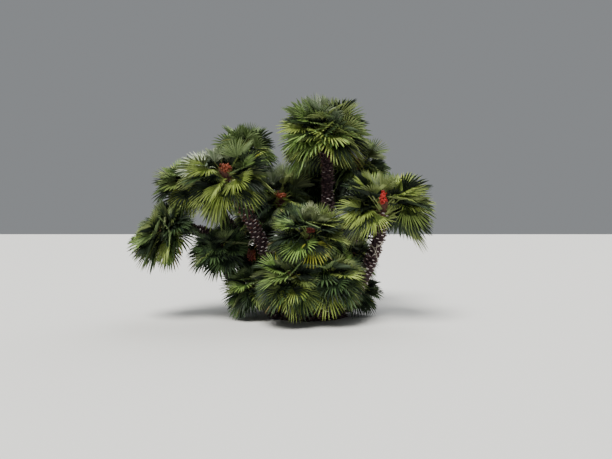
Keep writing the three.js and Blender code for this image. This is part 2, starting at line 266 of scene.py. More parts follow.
class Draws:
    """The rule's own sequence of numbers between -1 and 1."""

    FACTOR = 1664525
    STEP = 1013904223
    RANGE = 2**32

    def __init__(self, seed: int) -> None:
        """Starts the sequence.

        Args:
            seed: A whole number above 0.
        """
        self.state = seed

    def next(self) -> float:
        """The next number of the sequence."""
        self.state = (self.state * self.FACTOR + self.STEP) % self.RANGE
        return 2 * self.state / self.RANGE - 1


@dataclass(frozen=True)
class Layout:
    """The vectors and curve that a crown's stem and fronds are laid out on, in millimetres."""

    crown: Crown
    index: int
    heart: Array
    foot: Array
    bend: Array
    tip: Array
    axis: Array
    lift: Array
    across: Array
    along: Array

    FOOT_HEIGHT = 20.0
    TIP_BELOW = 230.3
    LARGEST_TURN = math.radians(30)
    LENGTH_POINTS = 33

    @classmethod
    def of(cls, crown: Crown, index: int) -> "Layout":
        """Works out a crown's layout from its foot, halfway point and heart.

        Args:
            crown: The crown.
            index: Its place in the table.

        Returns:
            The layout.
        """
        heart = np.array(crown.heart, float)
        foot = np.array([*crown.foot, cls.FOOT_HEIGHT])
        bend = 2 * np.array(crown.via, float) - 0.5 * foot - 0.5 * heart
        axis = unit(heart - bend)
        turn = min(math.acos(axis @ UP) / 2, cls.LARGEST_TURN)
        lift = turned(axis, unit(np.cross(axis, UP)), turn)
        across = unit(np.cross(BACKWARD, lift))
        tip = heart - axis * cls.TIP_BELOW * crown.girth
        return cls(crown, index, heart, foot, bend, tip, axis, lift, across, np.cross(lift, across))

    def stem_point(self, share: float) -> Array:
        """The point a share of the way along the stem's curve."""
        back = 1 - share
        return back * back * self.foot + 2 * share * back * self.bend + share * share * self.tip

    def stem_direction(self, share: float) -> Array:
        """The unit direction of the stem's curve at a share of its way."""
        return unit((1 - share) * (self.bend - self.foot) + share * (self.tip - self.bend))

    def stem_length(self) -> float:
        """The length of the stem's curve."""
        points = np.array([self.stem_point(share) for share in np.linspace(0, 1, self.LENGTH_POINTS)])
        return float(np.linalg.norm(np.diff(points, axis=0), axis=1).sum())


@dataclass(frozen=True)
class Layer:
    """One of the sets of fronds that fill a crown.

    Attributes:
        seed: The first number of its own sequence, counted from the crown's place in the table.
        step: How many fronds' turns it stands on from the solids' own.
        share: Its fronds' length against the solids' own.
        first_age: The age of its youngest frond.
        fruit_room: How many degrees it keeps from the crown's fruit.
    """

    seed: int
    step: float = 0.0
    share: float = 1.0
    first_age: float = 0.0
    fruit_room: float = 27.0


OWN = Layer(1)
# Its fronds are mostly painted dark, as painted shade between the crown's own fronds.
BETWEEN = Layer(101, step=0.5, first_age=0.3, fruit_room=36.0)
# Short fronds, all painted near black, as painted shade inside the crown.
INNER_SHADE = Layer(201, step=0.25, share=0.55, first_age=0.06, fruit_room=38.0)


@dataclass(frozen=True)
class Plan:
    """Where one frond stands and which way its blade faces, in millimetres."""

    number: int
    age: float
    tier: Tier
    hub: Array
    forward: Array
    side: Array
    normal: Array
    direction: Array
    blade: float
    half_angle: float


@dataclass(frozen=True)
class FrondRule:
    """The solids' frond rule. Pairs run from the youngest frond to the oldest; angles are in degrees."""

    highest: float = 82
    layer_ageing: float = 0.98
    upper_height: float = 60
    skirt_height: float = -52
    skirt_drop: float = 30
    half_angle: tuple[float, float] = (36, 114)
    opened_by: float = 0.22
    grown_by: float = 0.4
    cup: tuple[float, float] = (16, -4)
    fold: tuple[float, float] = (26, 10)
    blade_droop: tuple[float, float] = (0.05, 0.55)
    tip_sag: tuple[float, float] = (0.02, 0.2)
    petiole_sag: tuple[float, float] = (0.02, 0.1)
    scatter_azimuth: float = 8
    scatter_elevation: float = 8
    scatter_roll: float = 38
    scatter_length: float = 0.07
    scatter_droop: float = 0.2
    tier_elevation: float = 13
    blade_share: float = 0.57
    room_share: float = 1.25
    smallest_share: float = 0.5
    blade_most_of_room: float = 0.8
    hub_clear: float = 70
    ground_clear: float = 18
    spear_length: float = 0.86
    spear_blade: float = 0.44
    spear_half_angle: float = 82
    spear_rise: float = 0.97
    spear_lean: Triple = (0.06, -0.3, 0.0)
    spear_age: float = 0.03
    box_margin: float = 40
    fruit_view: float = 190
    beside_fruit: float = 30
    narrow_fan: float = 72

    def room_along(self, layout: Layout, direction: Array, layouts: list[Layout]) -> float:
        """How far a frond may reach along a direction before it enters a neighbour's room.

        Args:
            layout: Its crown's layout.
            direction: The way that it points.
            layouts: All crowns' layouts.

        Returns:
            The length.
        """
        room = math.inf
        for other in layouts:
            to_other = other.heart - layout.heart
            along = to_other @ direction
            if other is layout or along <= 0:
                continue
            gained = layout.crown.reach**2 - other.crown.reach**2
            room = min(room, (to_other @ to_other + gained) / (2 * along))
        return room * self.room_share

    def plans(self, layout: Layout, layouts: list[Layout], layer: Layer = OWN) -> list[Plan]:
        """Every frond of a layer of a crown's golden-angle spiral, youngest first.

        Args:
            layout: The crown's layout.
            layouts: All crowns' layouts.
            layer: Which of the crown's layers to give.

        Returns:
            The fronds that have room.
        """
        crown = layout.crown
        draws = Draws(layout.index + layer.seed)
        top = math.sin(math.radians(self.highest))
        bottom = math.sin(math.radians(crown.lowest - (0 if layer is OWN else crown.fall)))
        plans = []
        for number in range(crown.fronds):
            age = (number + 0.5 + layer.step * self.layer_ageing) / crown.fronds
            swing, lift, roll, stretch, limp = (draws.next() for _ in range(5))
            azimuth = (number + layer.step) * GOLDEN_ANGLE + math.radians(self.scatter_azimuth) * swing
            elevation = math.asin(lerp(top, bottom, age)) + math.radians(self.scatter_elevation) * lift
            outward = layout.across * math.cos(azimuth) + layout.along * math.sin(azimuth)
            elevation += math.radians(crown.raised) * age * max(0.0, -outward[1]) ** 2
            direction = outward * math.cos(elevation) + layout.lift * math.sin(elevation)
            is_upper = direction @ layout.axis > math.sin(math.radians(self.tier_elevation))
            if age < layer.first_age or self.hides_fruit(crown, direction, layer):
                continue
            grown = lerp(crown.young, 1, smoothstep(age, 0, self.grown_by))
            full = crown.reach * layer.share * grown * (1 + self.scatter_length * stretch)
            height = self.upper_height
            if not is_upper:
                height = self.skirt_height - self.skirt_drop * (direction @ layout.axis)
            start = layout.heart + layout.axis * height * crown.girth
            length = min(full, self.room_along(layout, direction, layouts))
            if length < self.smallest_share * full:
                continue
            length = min(length, self.length_in_box(start, direction))
            blade = min(full * self.blade_share, length * self.blade_most_of_room)
            petiole = length - blade
            hub = start + direction * petiole
            hub[2] = max(hub[2] - petiole * lerp(*self.petiole_sag, age), self.hub_clear)
            droop = lerp(*self.blade_droop, age) + self.scatter_droop * limp
            forward = unit(direction - UP * droop)
            level = np.cross(layout.lift, outward)
            roll_angle = math.radians(self.scatter_roll) * roll
            side = turned(unit(level - forward * (level @ forward)), forward, roll_angle)
            half_angle = math.radians(lerp(*self.half_angle, smoothstep(age, 0, self.opened_by)))
            if self.hides_fruit(crown, direction, layer, self.beside_fruit):
                half_angle = min(half_angle, math.radians(self.narrow_fan))
            tier = Tier.UPPER if is_upper else Tier.SKIRT
            normal = np.cross(forward, side)
            plans.append(Plan(number, age, tier, hub, forward, side, normal, direction, blade, half_angle))
        return plans

    def length_in_box(self, start: Array, direction: Array) -> float:
        """How long a frond may be before it stands more than the margin proud of the solids' box.

        Args:
            start: Where it leaves the stem.
            direction: The way that it points.

        Returns:
            The length.
        """
        low, high = (np.array(corner) / MM for corner in cad_bounds)
        ahead = np.where(direction > 0, high + self.box_margin, low - self.box_margin) - start
        return float((ahead / np.where(np.abs(direction) < TINY, TINY, direction)).min())

    def hides_fruit(self, crown: Crown, direction: Array, layer: Layer, margin: float = 0) -> bool:
        """Whether a frond along a direction would stand in front of the crown's fruit.

        Args:
            crown: The crown.
            direction: The way that the frond points.
            layer: The layer that it belongs to.
            margin: How many degrees more than the layer's own room to keep.

        Returns:
            True if it would.
        """
        if crown.fruit is None:
            return False
        shown = unit(np.array(crown.fruit.at) - np.array([0.0, self.fruit_view, 0.0]))
        return direction @ shown > math.cos(math.radians((layer.fruit_room + margin) * crown.fruit_shows))

    def spear(self, layout: Layout) -> Plan:
        """The young frond that stands up out of a crown, half open.

        Args:
            layout: The crown's layout.

        Returns:
            The frond.
        """
        length = layout.crown.reach * self.spear_length
        direction = unit(layout.lift * self.spear_rise + np.array(self.spear_lean))
        blade = length * self.spear_blade
        start = layout.heart + layout.axis * self.upper_height * layout.crown.girth
        side = unit(np.cross(direction, BACKWARD))
        return Plan(-1, self.spear_age, Tier.UPPER, start + direction * (length - blade), direction, side,
                    np.cross(direction, side), direction, blade, math.radians(self.spear_half_angle))

    def blade_points(self, plan: Plan, angle: Array, distance: Array) -> Array:
        """Points of a frond's blade.

        Args:
            plan: The frond.
            angle: Angles from the blade's midline, in radians.
            distance: Distances from its hub, of the same shape.

        Returns:
            The points, with one more axis than the angles.
        """
        rise = np.radians(lerp(*self.cup, plan.age) + lerp(*self.fold, plan.age) * np.abs(np.sin(angle)))
        flat = distance * np.cos(rise)
        points = (
            plan.hub
            + plan.forward * (flat * np.cos(angle))[..., None]
            + plan.side * (flat * np.sin(angle))[..., None]
            + plan.normal * (distance * np.sin(rise))[..., None]
        )
        points[..., 2] -= lerp(*self.tip_sag, plan.age) * distance**2 / plan.blade
        points[..., 2] = np.maximum(points[..., 2], self.ground_clear)
        return points


@dataclass
class Patch:
    """Triangles with a finish number for each and a map place for each vertex, in metres."""

    vertices: Array
    faces: Array
    slots: Array
    places: Array

    @classmethod
    def joined(cls, patches: list["Patch"]) -> "Patch":
        """One patch from many.

        Args:
            patches: The patches, of which there is at least one.

        Returns:
            All their triangles.
        """
        starts = np.cumsum([0] + [len(patch.vertices) for patch in patches[:-1]])
        return cls(
            np.concatenate([patch.vertices for patch in patches]),
            np.concatenate([patch.faces + start for patch, start in zip(patches, starts)]),
            np.concatenate([patch.slots for patch in patches]),
            np.concatenate([patch.places for patch in patches]),
        )

    @classmethod
    def of_object(cls, piece: bpy.types.Object) -> "Patch":
        """A modelled object's triangles, taken as arrays, after which the object is removed.

        Args:
            piece: The object.

        Returns:
            Its triangles, with the numbers of its material slots.
        """
        mesh = piece.data
        mesh.calc_loop_triangles()
        vertices = np.empty(len(mesh.vertices) * 3)
        mesh.vertices.foreach_get("co", vertices)
        faces = np.empty(len(mesh.loop_triangles) * 3, int)
        mesh.loop_triangles.foreach_get("vertices", faces)
        slots = np.empty(len(mesh.loop_triangles), int)
        mesh.loop_triangles.foreach_get("material_index", slots)
        bpy.data.objects.remove(piece)
        bpy.data.meshes.remove(mesh)
        vertices = vertices.reshape(-1, 3)
        return cls(vertices, faces.reshape(-1, 3), slots, vertices[:, [0, 2]].copy())

    def copies(self, frames: Array, origins: Array) -> "Patch":
        """Copies of this patch, joined.

        Args:
            frames: For each copy its scaled X, Y and Z directions as rows, (copies, 3, 3).
            origins: Where each copy's origin goes, (copies, 3).

        Returns:
            All the copies in one patch.
        """
        count, size = len(origins), len(self.vertices)
        placed = np.einsum("vi,cij->cvj", self.vertices, frames) + origins[:, None, :]
        offsets = (np.arange(count) * size)[:, None, None]
        return Patch(
            placed.reshape(-1, 3),
            (self.faces[None] + offsets).reshape(-1, 3),
            np.tile(self.slots, count),
            np.tile(self.places, (count, 1)),
        )

    def with_slot(self, slot: int) -> "Patch":
        """The same patch with one finish all over."""
        return Patch(self.vertices, self.faces, np.full(len(self.faces), slot), self.places)


def piece_from(
    name: str, patch: Patch, finishes: list[bpy.types.Material], smooth: bool = False
) -> bpy.types.Object:
    """Makes a mesh object from a patch.

    Args:
        name: The piece's name.
        patch: Its triangles; finish numbers index the list of finishes.
        finishes: The finishes, of which only those in use are kept.
        smooth: Whether its faces are shaded smooth.

    Returns:
        The object, riding on the plant's body.
    """
    used, slots = np.unique(patch.slots, return_inverse=True)
    count = len(patch.faces)
    mesh = bpy.data.meshes.new(name)
    mesh.vertices.add(len(patch.vertices))
    mesh.vertices.foreach_set("co", patch.vertices.astype(np.float32).ravel())
    mesh.loops.add(count * 3)
    mesh.loops.foreach_set("vertex_index", patch.faces.astype(np.int32).ravel())
    mesh.polygons.add(count)
    mesh.polygons.foreach_set("loop_start", np.arange(0, count * 3, 3, dtype=np.int32))
    for number in used:
        mesh.materials.append(finishes[number])
    mesh.polygons.foreach_set("material_index", slots.reshape(-1).astype(np.int32))
    mesh.polygons.foreach_set("use_smooth", np.full(count, smooth))
    layer = mesh.uv_layers.new(name=SURFACE_MAP)
    layer.data.foreach_set("uv", patch.places[patch.faces.ravel()].astype(np.float32).ravel())
    mesh.update()
    mesh.validate()
    piece = bpy.data.objects.new(name, mesh)
    bpy.context.scene.collection.objects.link(piece)
    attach(piece, BODY)
    log.info("%s: %d triangles", name, count)
    return piece


def deselect_all() -> None:
    """Leaves nothing selected, so that the next operator acts on its own piece alone."""
    bpy.ops.object.select_all(action="DESELECT")


def apply_modifier(piece: bpy.types.Object, kind: str, **settings: object) -> None:
    """Adds a modifier and applies it.

    Args:
        piece: The active object.
        kind: The modifier's type.
        settings: Its properties by name.
    """
    modifier = piece.modifiers.new(kind.title(), kind)
    for key, value in settings.items():
        setattr(modifier, key, value)
    bpy.ops.object.modifier_apply(modifier=modifier.name)


def roughen(piece: bpy.types.Object, reliefs: tuple[tuple[float, float], ...]) -> None:
    """Displaces a mesh by clouds.

    Args:
        piece: The active object.
        reliefs: The scale and the strength of each layer of clouds, in metres.
    """
    for scale, strength in reliefs:
        clouds = bpy.data.textures.new("clouds", "CLOUDS")
        clouds.noise_scale = scale
        apply_modifier(piece, "DISPLACE", texture=clouds, texture_coords="LOCAL", strength=strength,
                       mid_level=0.5)


def linear(colour: Triple) -> tuple[float, float, float, float]:
    """A display colour as a linear one, by the usual sRGB curve.

    Args:
        colour: The display colour, from 0 to 255.

    Returns:
        The linear colour, with full alpha.
    """
    shares = [channel / 255 for channel in colour]
    curve = [share / 12.92 if share <= 0.04045 else ((share + 0.055) / 1.055) ** 2.4 for share in shares]
    return (*curve, 1.0)


def feed(socket: bpy.types.NodeSocket, value: object) -> None:
    """Feeds a node's input.

    Args:
        socket: The input.
        value: The value to set it to, or the output to join it to.
    """
    if isinstance(value, bpy.types.NodeSocket):
        socket.id_data.links.new(value, socket)
    else:
        socket.default_value = value


def set_up(node: bpy.types.Node, **settings: object) -> None:
    """Sets a node's properties and feeds its inputs.

    Args:
        node: The node.
        settings: Values of properties, or what feeds inputs, by their names with spaces as underscores.
    """
    for key, value in settings.items():
        label = key.replace("_", " ")
        if label in node.inputs:
            feed(node.inputs[label], value)
        else:
            setattr(node, key, value)


def add_node(tree: bpy.types.NodeTree, kind: str, **settings: object) -> bpy.types.Node:
    """Adds a node to a tree.

    Args:
        tree: The node tree.
        kind: The node's type.
        settings: Its properties and inputs, as set_up takes them.

    Returns:
        The new node.
    """
    node = tree.nodes.new(kind)
    set_up(node, **settings)
    return node


class NodeGroup:
    """A shader node group under construction, with named inputs and outputs."""

    def __init__(self, name: str, inputs: dict[str, object], outputs: dict[str, str]) -> None:
        """Starts the group.

        Args:
            name: The group's name.
            inputs: Each input's name and value: a number, or four numbers for a colour.
            outputs: Each output's name and socket kind, "Float" or "Color".
        """
        self.tree = bpy.data.node_groups.new(name, "ShaderNodeTree")
        for label, value in inputs.items():
            kind = "NodeSocketColor" if isinstance(value, tuple) else "NodeSocketFloat"
            socket = self.tree.interface.new_socket(name=label, in_out="INPUT", socket_type=kind)
            socket.default_value = value
        for label, kind in outputs.items():
            self.tree.interface.new_socket(name=label, in_out="OUTPUT", socket_type="NodeSocket" + kind)
        self.given = self.tree.nodes.new("NodeGroupInput").outputs
        self.result = self.tree.nodes.new("NodeGroupOutput")

    def node(self, kind: str, **settings: object) -> bpy.types.Node:
        """Adds a node, with its settings as set_up takes them."""
        return add_node(self.tree, kind, **settings)

    def maths(self, operation: str, *values: object) -> bpy.types.NodeSocket:
        """Adds a node that works something out.

        Args:
            operation: What it does.
            values: What feeds its inputs, in their order.

        Returns:
            Its output.
        """
        node = self.node("ShaderNodeMath", operation=operation)
        for socket, value in zip(node.inputs, values):
            feed(socket, value)
        return node.outputs[0]


class Effects:
    """The node groups that more than one finish uses, and the numbers of a Mix node's colour sockets."""

    STREAK_SHARE = 0.65
    FLECK_SHARE = 0.35
    COLOUR_A, COLOUR_B, MIXED_COLOUR = 6, 7, 2

    def __init__(self) -> None:
        """Builds every group."""
        self.fibre = self._fibre()
        self.veins = self._veins()

    def _fibre(self) -> bpy.types.NodeTree:
        """Builds streaks and flecks of plant fibre.

        Returns:
            The group, which gives a colour between two, the height of the relief and the roughness.
        """
        group = NodeGroup(
            "PalmFibre",
            {"Dark": (0.0, 0.0, 0.0, 1.0), "Light": (1.0, 1.0, 1.0, 1.0), "Scale": 30.0, "Stretch": 1.0},
            {"Colour": "Color", "Height": "Float", "Roughness": "Float"},
        )
        given = group.given
        place = group.node("ShaderNodeTexCoord").outputs["Object"]
        stretch = group.node("ShaderNodeCombineXYZ", X=1.0, Y=1.0, Z=given["Stretch"])
        drawn_out = group.node("ShaderNodeMapping", Vector=place, Scale=stretch.outputs[0])
        streaks = group.node("ShaderNodeTexNoise", Vector=drawn_out.outputs[0], Scale=given["Scale"],
                             Detail=5.0, Roughness=0.65)
        flecks = group.node("ShaderNodeTexNoise", Vector=place, Scale=9.0, Detail=2.0)
        fleck_part = group.maths("MULTIPLY", flecks.outputs[0], self.FLECK_SHARE)
        both = group.maths("MULTIPLY_ADD", streaks.outputs[0], self.STREAK_SHARE, fleck_part)
        height = group.node("ShaderNodeMapRange", Value=both, From_Min=0.36, From_Max=0.62).outputs[0]
        rough = group.node("ShaderNodeMapRange", Value=height, To_Min=0.72, To_Max=0.95)
        mix = group.node("ShaderNodeMix", data_type="RGBA", Factor=height)
        feed(mix.inputs[self.COLOUR_A], given["Dark"])
        feed(mix.inputs[self.COLOUR_B], given["Light"])
        colour = mix.outputs[self.MIXED_COLOUR]
        set_up(group.result, Colour=colour, Height=height, Roughness=rough.outputs[0])
        return group.tree

    @staticmethod
    def _veins() -> bpy.types.NodeTree:
        """Builds fine veins that run the length of a leaflet, read from the piece's own map.

        Returns:
            The group, which gives the height of the relief.
        """
        group = NodeGroup("LeafletVeins", {"Count": 11.0}, {"Height": "Float"})
        place = group.node("ShaderNodeUVMap", uv_map=SURFACE_MAP)
        parts = group.node("ShaderNodeSeparateXYZ", Vector=place.outputs[0])
        turns = group.maths("MULTIPLY", parts.outputs["X"], group.given["Count"])
        wave = group.maths("COSINE", group.maths("MULTIPLY", turns, 2 * math.pi))
        height = group.node("ShaderNodeMapRange", Value=wave, From_Min=-1.0, From_Max=1.0)
        set_up(group.result, Height=height.outputs[0])
        return group.tree


def new_material(name: str) -> tuple[bpy.types.Material, bpy.types.Node]:
    """Makes a node material.

    Args:
        name: Its name.

    Returns:
        The material and its Principled shader, already joined to its output.
    """
    material = bpy.data.materials.new(name)
    material.use_nodes = True
    return material, material.node_tree.nodes["Principled BSDF"]


def relief(height: bpy.types.NodeSocket, strength: float, depth: float) -> bpy.types.NodeSocket:
    """The bumps that a height gives to a surface.

    Args:
        height: The output that gives the height, from 0 to 1.
        strength: How much the bumps show.
        depth: How high they are, in metres.

    Returns:
        The output that gives the surface's directions.
    """
    bump = add_node(height.id_data, "ShaderNodeBump", Strength=strength, Distance=depth, Height=height)
    return bump.outputs[0]


@dataclass(frozen=True)
class LeafFinish:
    """One plain tint of leaf, with veins in its relief."""

    name: str
    colour: Triple
    roughness: float
    gloss: float = 0.28
    strength: float = 0.35
    depth: float = 0.0008

    def make(self, effects: Effects) -> bpy.types.Material:
        """Builds the material.

        Args:
            effects: The shared node groups.

        Returns:
            The material.
        """
        material, shader = new_material(self.name)
        veins = add_node(material.node_tree, "ShaderNodeGroup", node_tree=effects.veins)
        bumps = relief(veins.outputs["Height"], self.strength, self.depth)
        set_up(shader, Base_Color=linear(self.colour), Roughness=self.roughness,
               Specular_IOR_Level=self.gloss, Normal=bumps)
        return material


@dataclass(frozen=True)
class FibrousFinish:
    """Bark, cut leaf bases, loose fibre and stalks: two colours in streaks, with relief."""

    name: str
    dark: Triple
    light: Triple
    scale: float
    stretch: float
    strength: float
    depth: float
    gloss: float = 0.25

    def make(self, effects: Effects) -> bpy.types.Material:
        """Builds the material.

        Args:
            effects: The shared node groups.

        Returns:
            The material.
        """
        material, shader = new_material(self.name)
        fibre = add_node(material.node_tree, "ShaderNodeGroup", node_tree=effects.fibre, Scale=self.scale,
                         Dark=linear(self.dark), Light=linear(self.light), Stretch=self.stretch)
        bumps = relief(fibre.outputs["Height"], self.strength, self.depth)
        set_up(shader, Base_Color=fibre.outputs["Colour"], Roughness=fibre.outputs["Roughness"],
               Specular_IOR_Level=self.gloss, Normal=bumps)
        return material


@dataclass(frozen=True)
class FruitFinish:
    """The skin of small ripe fruit, mottled between two colours and a little glossy."""

    name: str
    dark: Triple
    light: Triple
    scale: float = 60.0
    roughness: float = 0.38
    coat: float = 0.15

    def make(self, effects: Effects) -> bpy.types.Material:
        """Builds the material.

        Args:
            effects: The shared node groups.

        Returns:
            The material.
        """
        material, shader = new_material(self.name)
        mottle = add_node(material.node_tree, "ShaderNodeGroup", node_tree=effects.fibre, Scale=self.scale,
                          Dark=linear(self.dark), Light=linear(self.light), Stretch=1.0)
        set_up(shader, Base_Color=mottle.outputs["Colour"], Roughness=self.roughness, Coat_Weight=self.coat)
        return material


@dataclass(frozen=True)
class FloorFinish:
    """The plain pale studio floor."""

    name: str = "studio_floor"
    colour: Triple = (214, 214, 210)
    roughness: float = 0.9

    def make(self) -> bpy.types.Material:
        """Builds the material.

        Returns:
            The material.
        """
        material, shader = new_material(self.name)
        set_up(shader, Base_Color=linear(self.colour), Roughness=self.roughness)
        return material


@dataclass(frozen=True)
class LeafColours:
    """The display colours of one leaf state: three shades of its upper side and two of its underside, painted
    lighter than the leaf as painted light glowing through it.
    """

    upper: tuple[Triple, Triple, Triple]
    under: tuple[Triple, Triple]


# Upper shades run usual, dark and light. Undersides are painted lighter, as painted light glowing through the
# leaves.
LEAF_COLOURS = {
    LeafState.YOUNG: LeafColours(
        ((98, 116, 84), (70, 88, 62), (138, 154, 116)), ((138, 150, 116), (116, 130, 98))),
    LeafState.FRESH: LeafColours(
        ((86, 114, 50), (56, 80, 38), (122, 150, 76)), ((120, 138, 90), (98, 116, 74))),
    LeafState.MATURE: LeafColours(
        ((78, 93, 46), (50, 63, 34), (110, 127, 68)), ((110, 120, 82), (88, 98, 67))),
    LeafState.DEEP: LeafColours(
        ((42, 60, 37), (29, 43, 29), (66, 88, 51)), ((72, 86, 63), (56, 69, 51))),
    LeafState.SUNLIT: LeafColours(
        ((116, 133, 57), (82, 98, 45), (150, 167, 84)), ((140, 153, 96), (116, 129, 77))),
    LeafState.OLD: LeafColours(
        ((142, 147, 46), (110, 115, 39), (168, 171, 70)), ((150, 153, 84), (130, 133, 70))),
    LeafState.DRY: LeafColours(
        ((136, 122, 76), (110, 96, 58), (154, 142, 96)), ((140, 128, 86), (118, 106, 70))),
    LeafState.SILVER: LeafColours(
        ((114, 128, 102), (64, 78, 60), (184, 194, 168)), ((142, 152, 128), (114, 128, 102))),
    LeafState.PALE: LeafColours(
        ((204, 212, 170), (184, 196, 148), (226, 232, 196)), ((206, 214, 178), (190, 200, 160))),
    LeafState.INNER_SHADE: LeafColours(
        ((27, 39, 27), (18, 27, 20), (39, 52, 34)), ((39, 49, 37), (29, 39, 30))),
}

# Each tone's shares of states: more of the sunlit state where light falls on the crown, as painted light, and
# more of the deep state where it lies in shade, as painted shade.
STATE_SHARES = {
    Tone.SUNNY: {LeafState.SUNLIT: 0.3, LeafState.MATURE: 0.26, LeafState.FRESH: 0.3, LeafState.DEEP: 0.14},
    Tone.FRESH: {LeafState.SUNLIT: 0.3, LeafState.MATURE: 0.08, LeafState.FRESH: 0.58, LeafState.DEEP: 0.04},
    Tone.LOW: {LeafState.SUNLIT: 0.08, LeafState.MATURE: 0.34, LeafState.FRESH: 0.32, LeafState.DEEP: 0.26},
    Tone.SHADED: {LeafState.SUNLIT: 0.02, LeafState.MATURE: 0.22, LeafState.FRESH: 0.1, LeafState.DEEP: 0.66},
}
# Fronds between the crown's own are mostly painted dark as painted shade, less so in a fresh crown.
BETWEEN_SHADE_SHARES = {LeafState.INNER_SHADE: 0.55, LeafState.DEEP: 0.33, LeafState.MATURE: 0.12}
FRESH_BETWEEN_SHADE_SHARES = {LeafState.INNER_SHADE: 0.15, LeafState.DEEP: 0.25, LeafState.FRESH: 0.6}
# Older fronds often take the sunlit state: partly the yellow-green of age, partly painted light.
SUNLIT_WITH_AGE = {Tone.SUNNY: 0.5, Tone.FRESH: 0.5, Tone.LOW: 0.06, Tone.SHADED: 0.0}
SUNLIT_FROM = 0.6
YOUNG_UNTIL = 0.13


class LeafPalette:
    """Every leaf finish, with the numbers that blades deal them out by."""

    UPPER_SHADES = 3
    UNDER_SHADES = 2
    UPPER_ROUGHNESS = 0.54
    UNDER_ROUGHNESS = 0.66

    def __init__(self, effects: Effects) -> None:
        """Makes the finishes.

        Args:
            effects: The shared node groups.
        """
        self.finishes: list[bpy.types.Material] = []
        self.first: dict[LeafState, int] = {}
        for state, colours in LEAF_COLOURS.items():
            self.first[state] = len(self.finishes)
            for side, shades, roughness in (
                ("", colours.upper, self.UPPER_ROUGHNESS),
                ("under_", colours.under, self.UNDER_ROUGHNESS),
            ):
                for number, colour in enumerate(shades):
                    finish = LeafFinish(f"leaf_{state.value}_{side}{number}", colour, roughness)
                    self.finishes.append(finish.make(effects))

    def upper(self, state: LeafState, shades: Array) -> Array:
        """The finish numbers of upper sides in some shades of a state."""
        return self.first[state] + shades % self.UPPER_SHADES

    def under(self, state: LeafState, shades: Array) -> Array:
        """The finish numbers of undersides in some shades of a state."""
        return self.first[state] + self.UPPER_SHADES + shades % self.UNDER_SHADES


def dealt(shares: dict[LeafState, float], chance: float) -> LeafState:
    """The state that a chance falls to.

    Args:
        shares: Each state's share; together they make 1.
        chance: A number from 0 to 1.

    Returns:
        The state.
    """
    for state, share in shares.items():
        chance -= share
        if chance < 0:
            break
    return state


def state_of(plan: Plan, crown: Crown, layer: Layer, random: np.random.Generator) -> LeafState:
    """The state of a frond.

    Args:
        plan: The frond.
        crown: Its crown.
        layer: The layer of the crown that it belongs to.
        random: The source of chance.

    Returns:
        The state, by its age and layer and the painted light and shade of its crown's tone.
    """
    chance, second = random.random(2)
    # Inner and between fronds take painted shade.
    if layer is INNER_SHADE:
        return LeafState.INNER_SHADE
    if layer is BETWEEN:
        return dealt(FRESH_BETWEEN_SHADE_SHARES if crown.tone is Tone.FRESH else BETWEEN_SHADE_SHARES, chance)
    # Listed fronds take the silvery state with its painted sheen, the sunlit state as painted light, and the
    # yellowed state of age.
    for numbers, state in (
        (crown.silver_sheened, LeafState.SILVER), (crown.sunlit, LeafState.SUNLIT), (crown.yellowed, LeafState.OLD)
    ):
        if plan.number in numbers:
            return state
    if plan.age < YOUNG_UNTIL:
        return LeafState.YOUNG
    if plan.age > SUNLIT_FROM and chance < SUNLIT_WITH_AGE[crown.tone]:
        return LeafState.SUNLIT
    return dealt(STATE_SHARES[crown.tone], second)


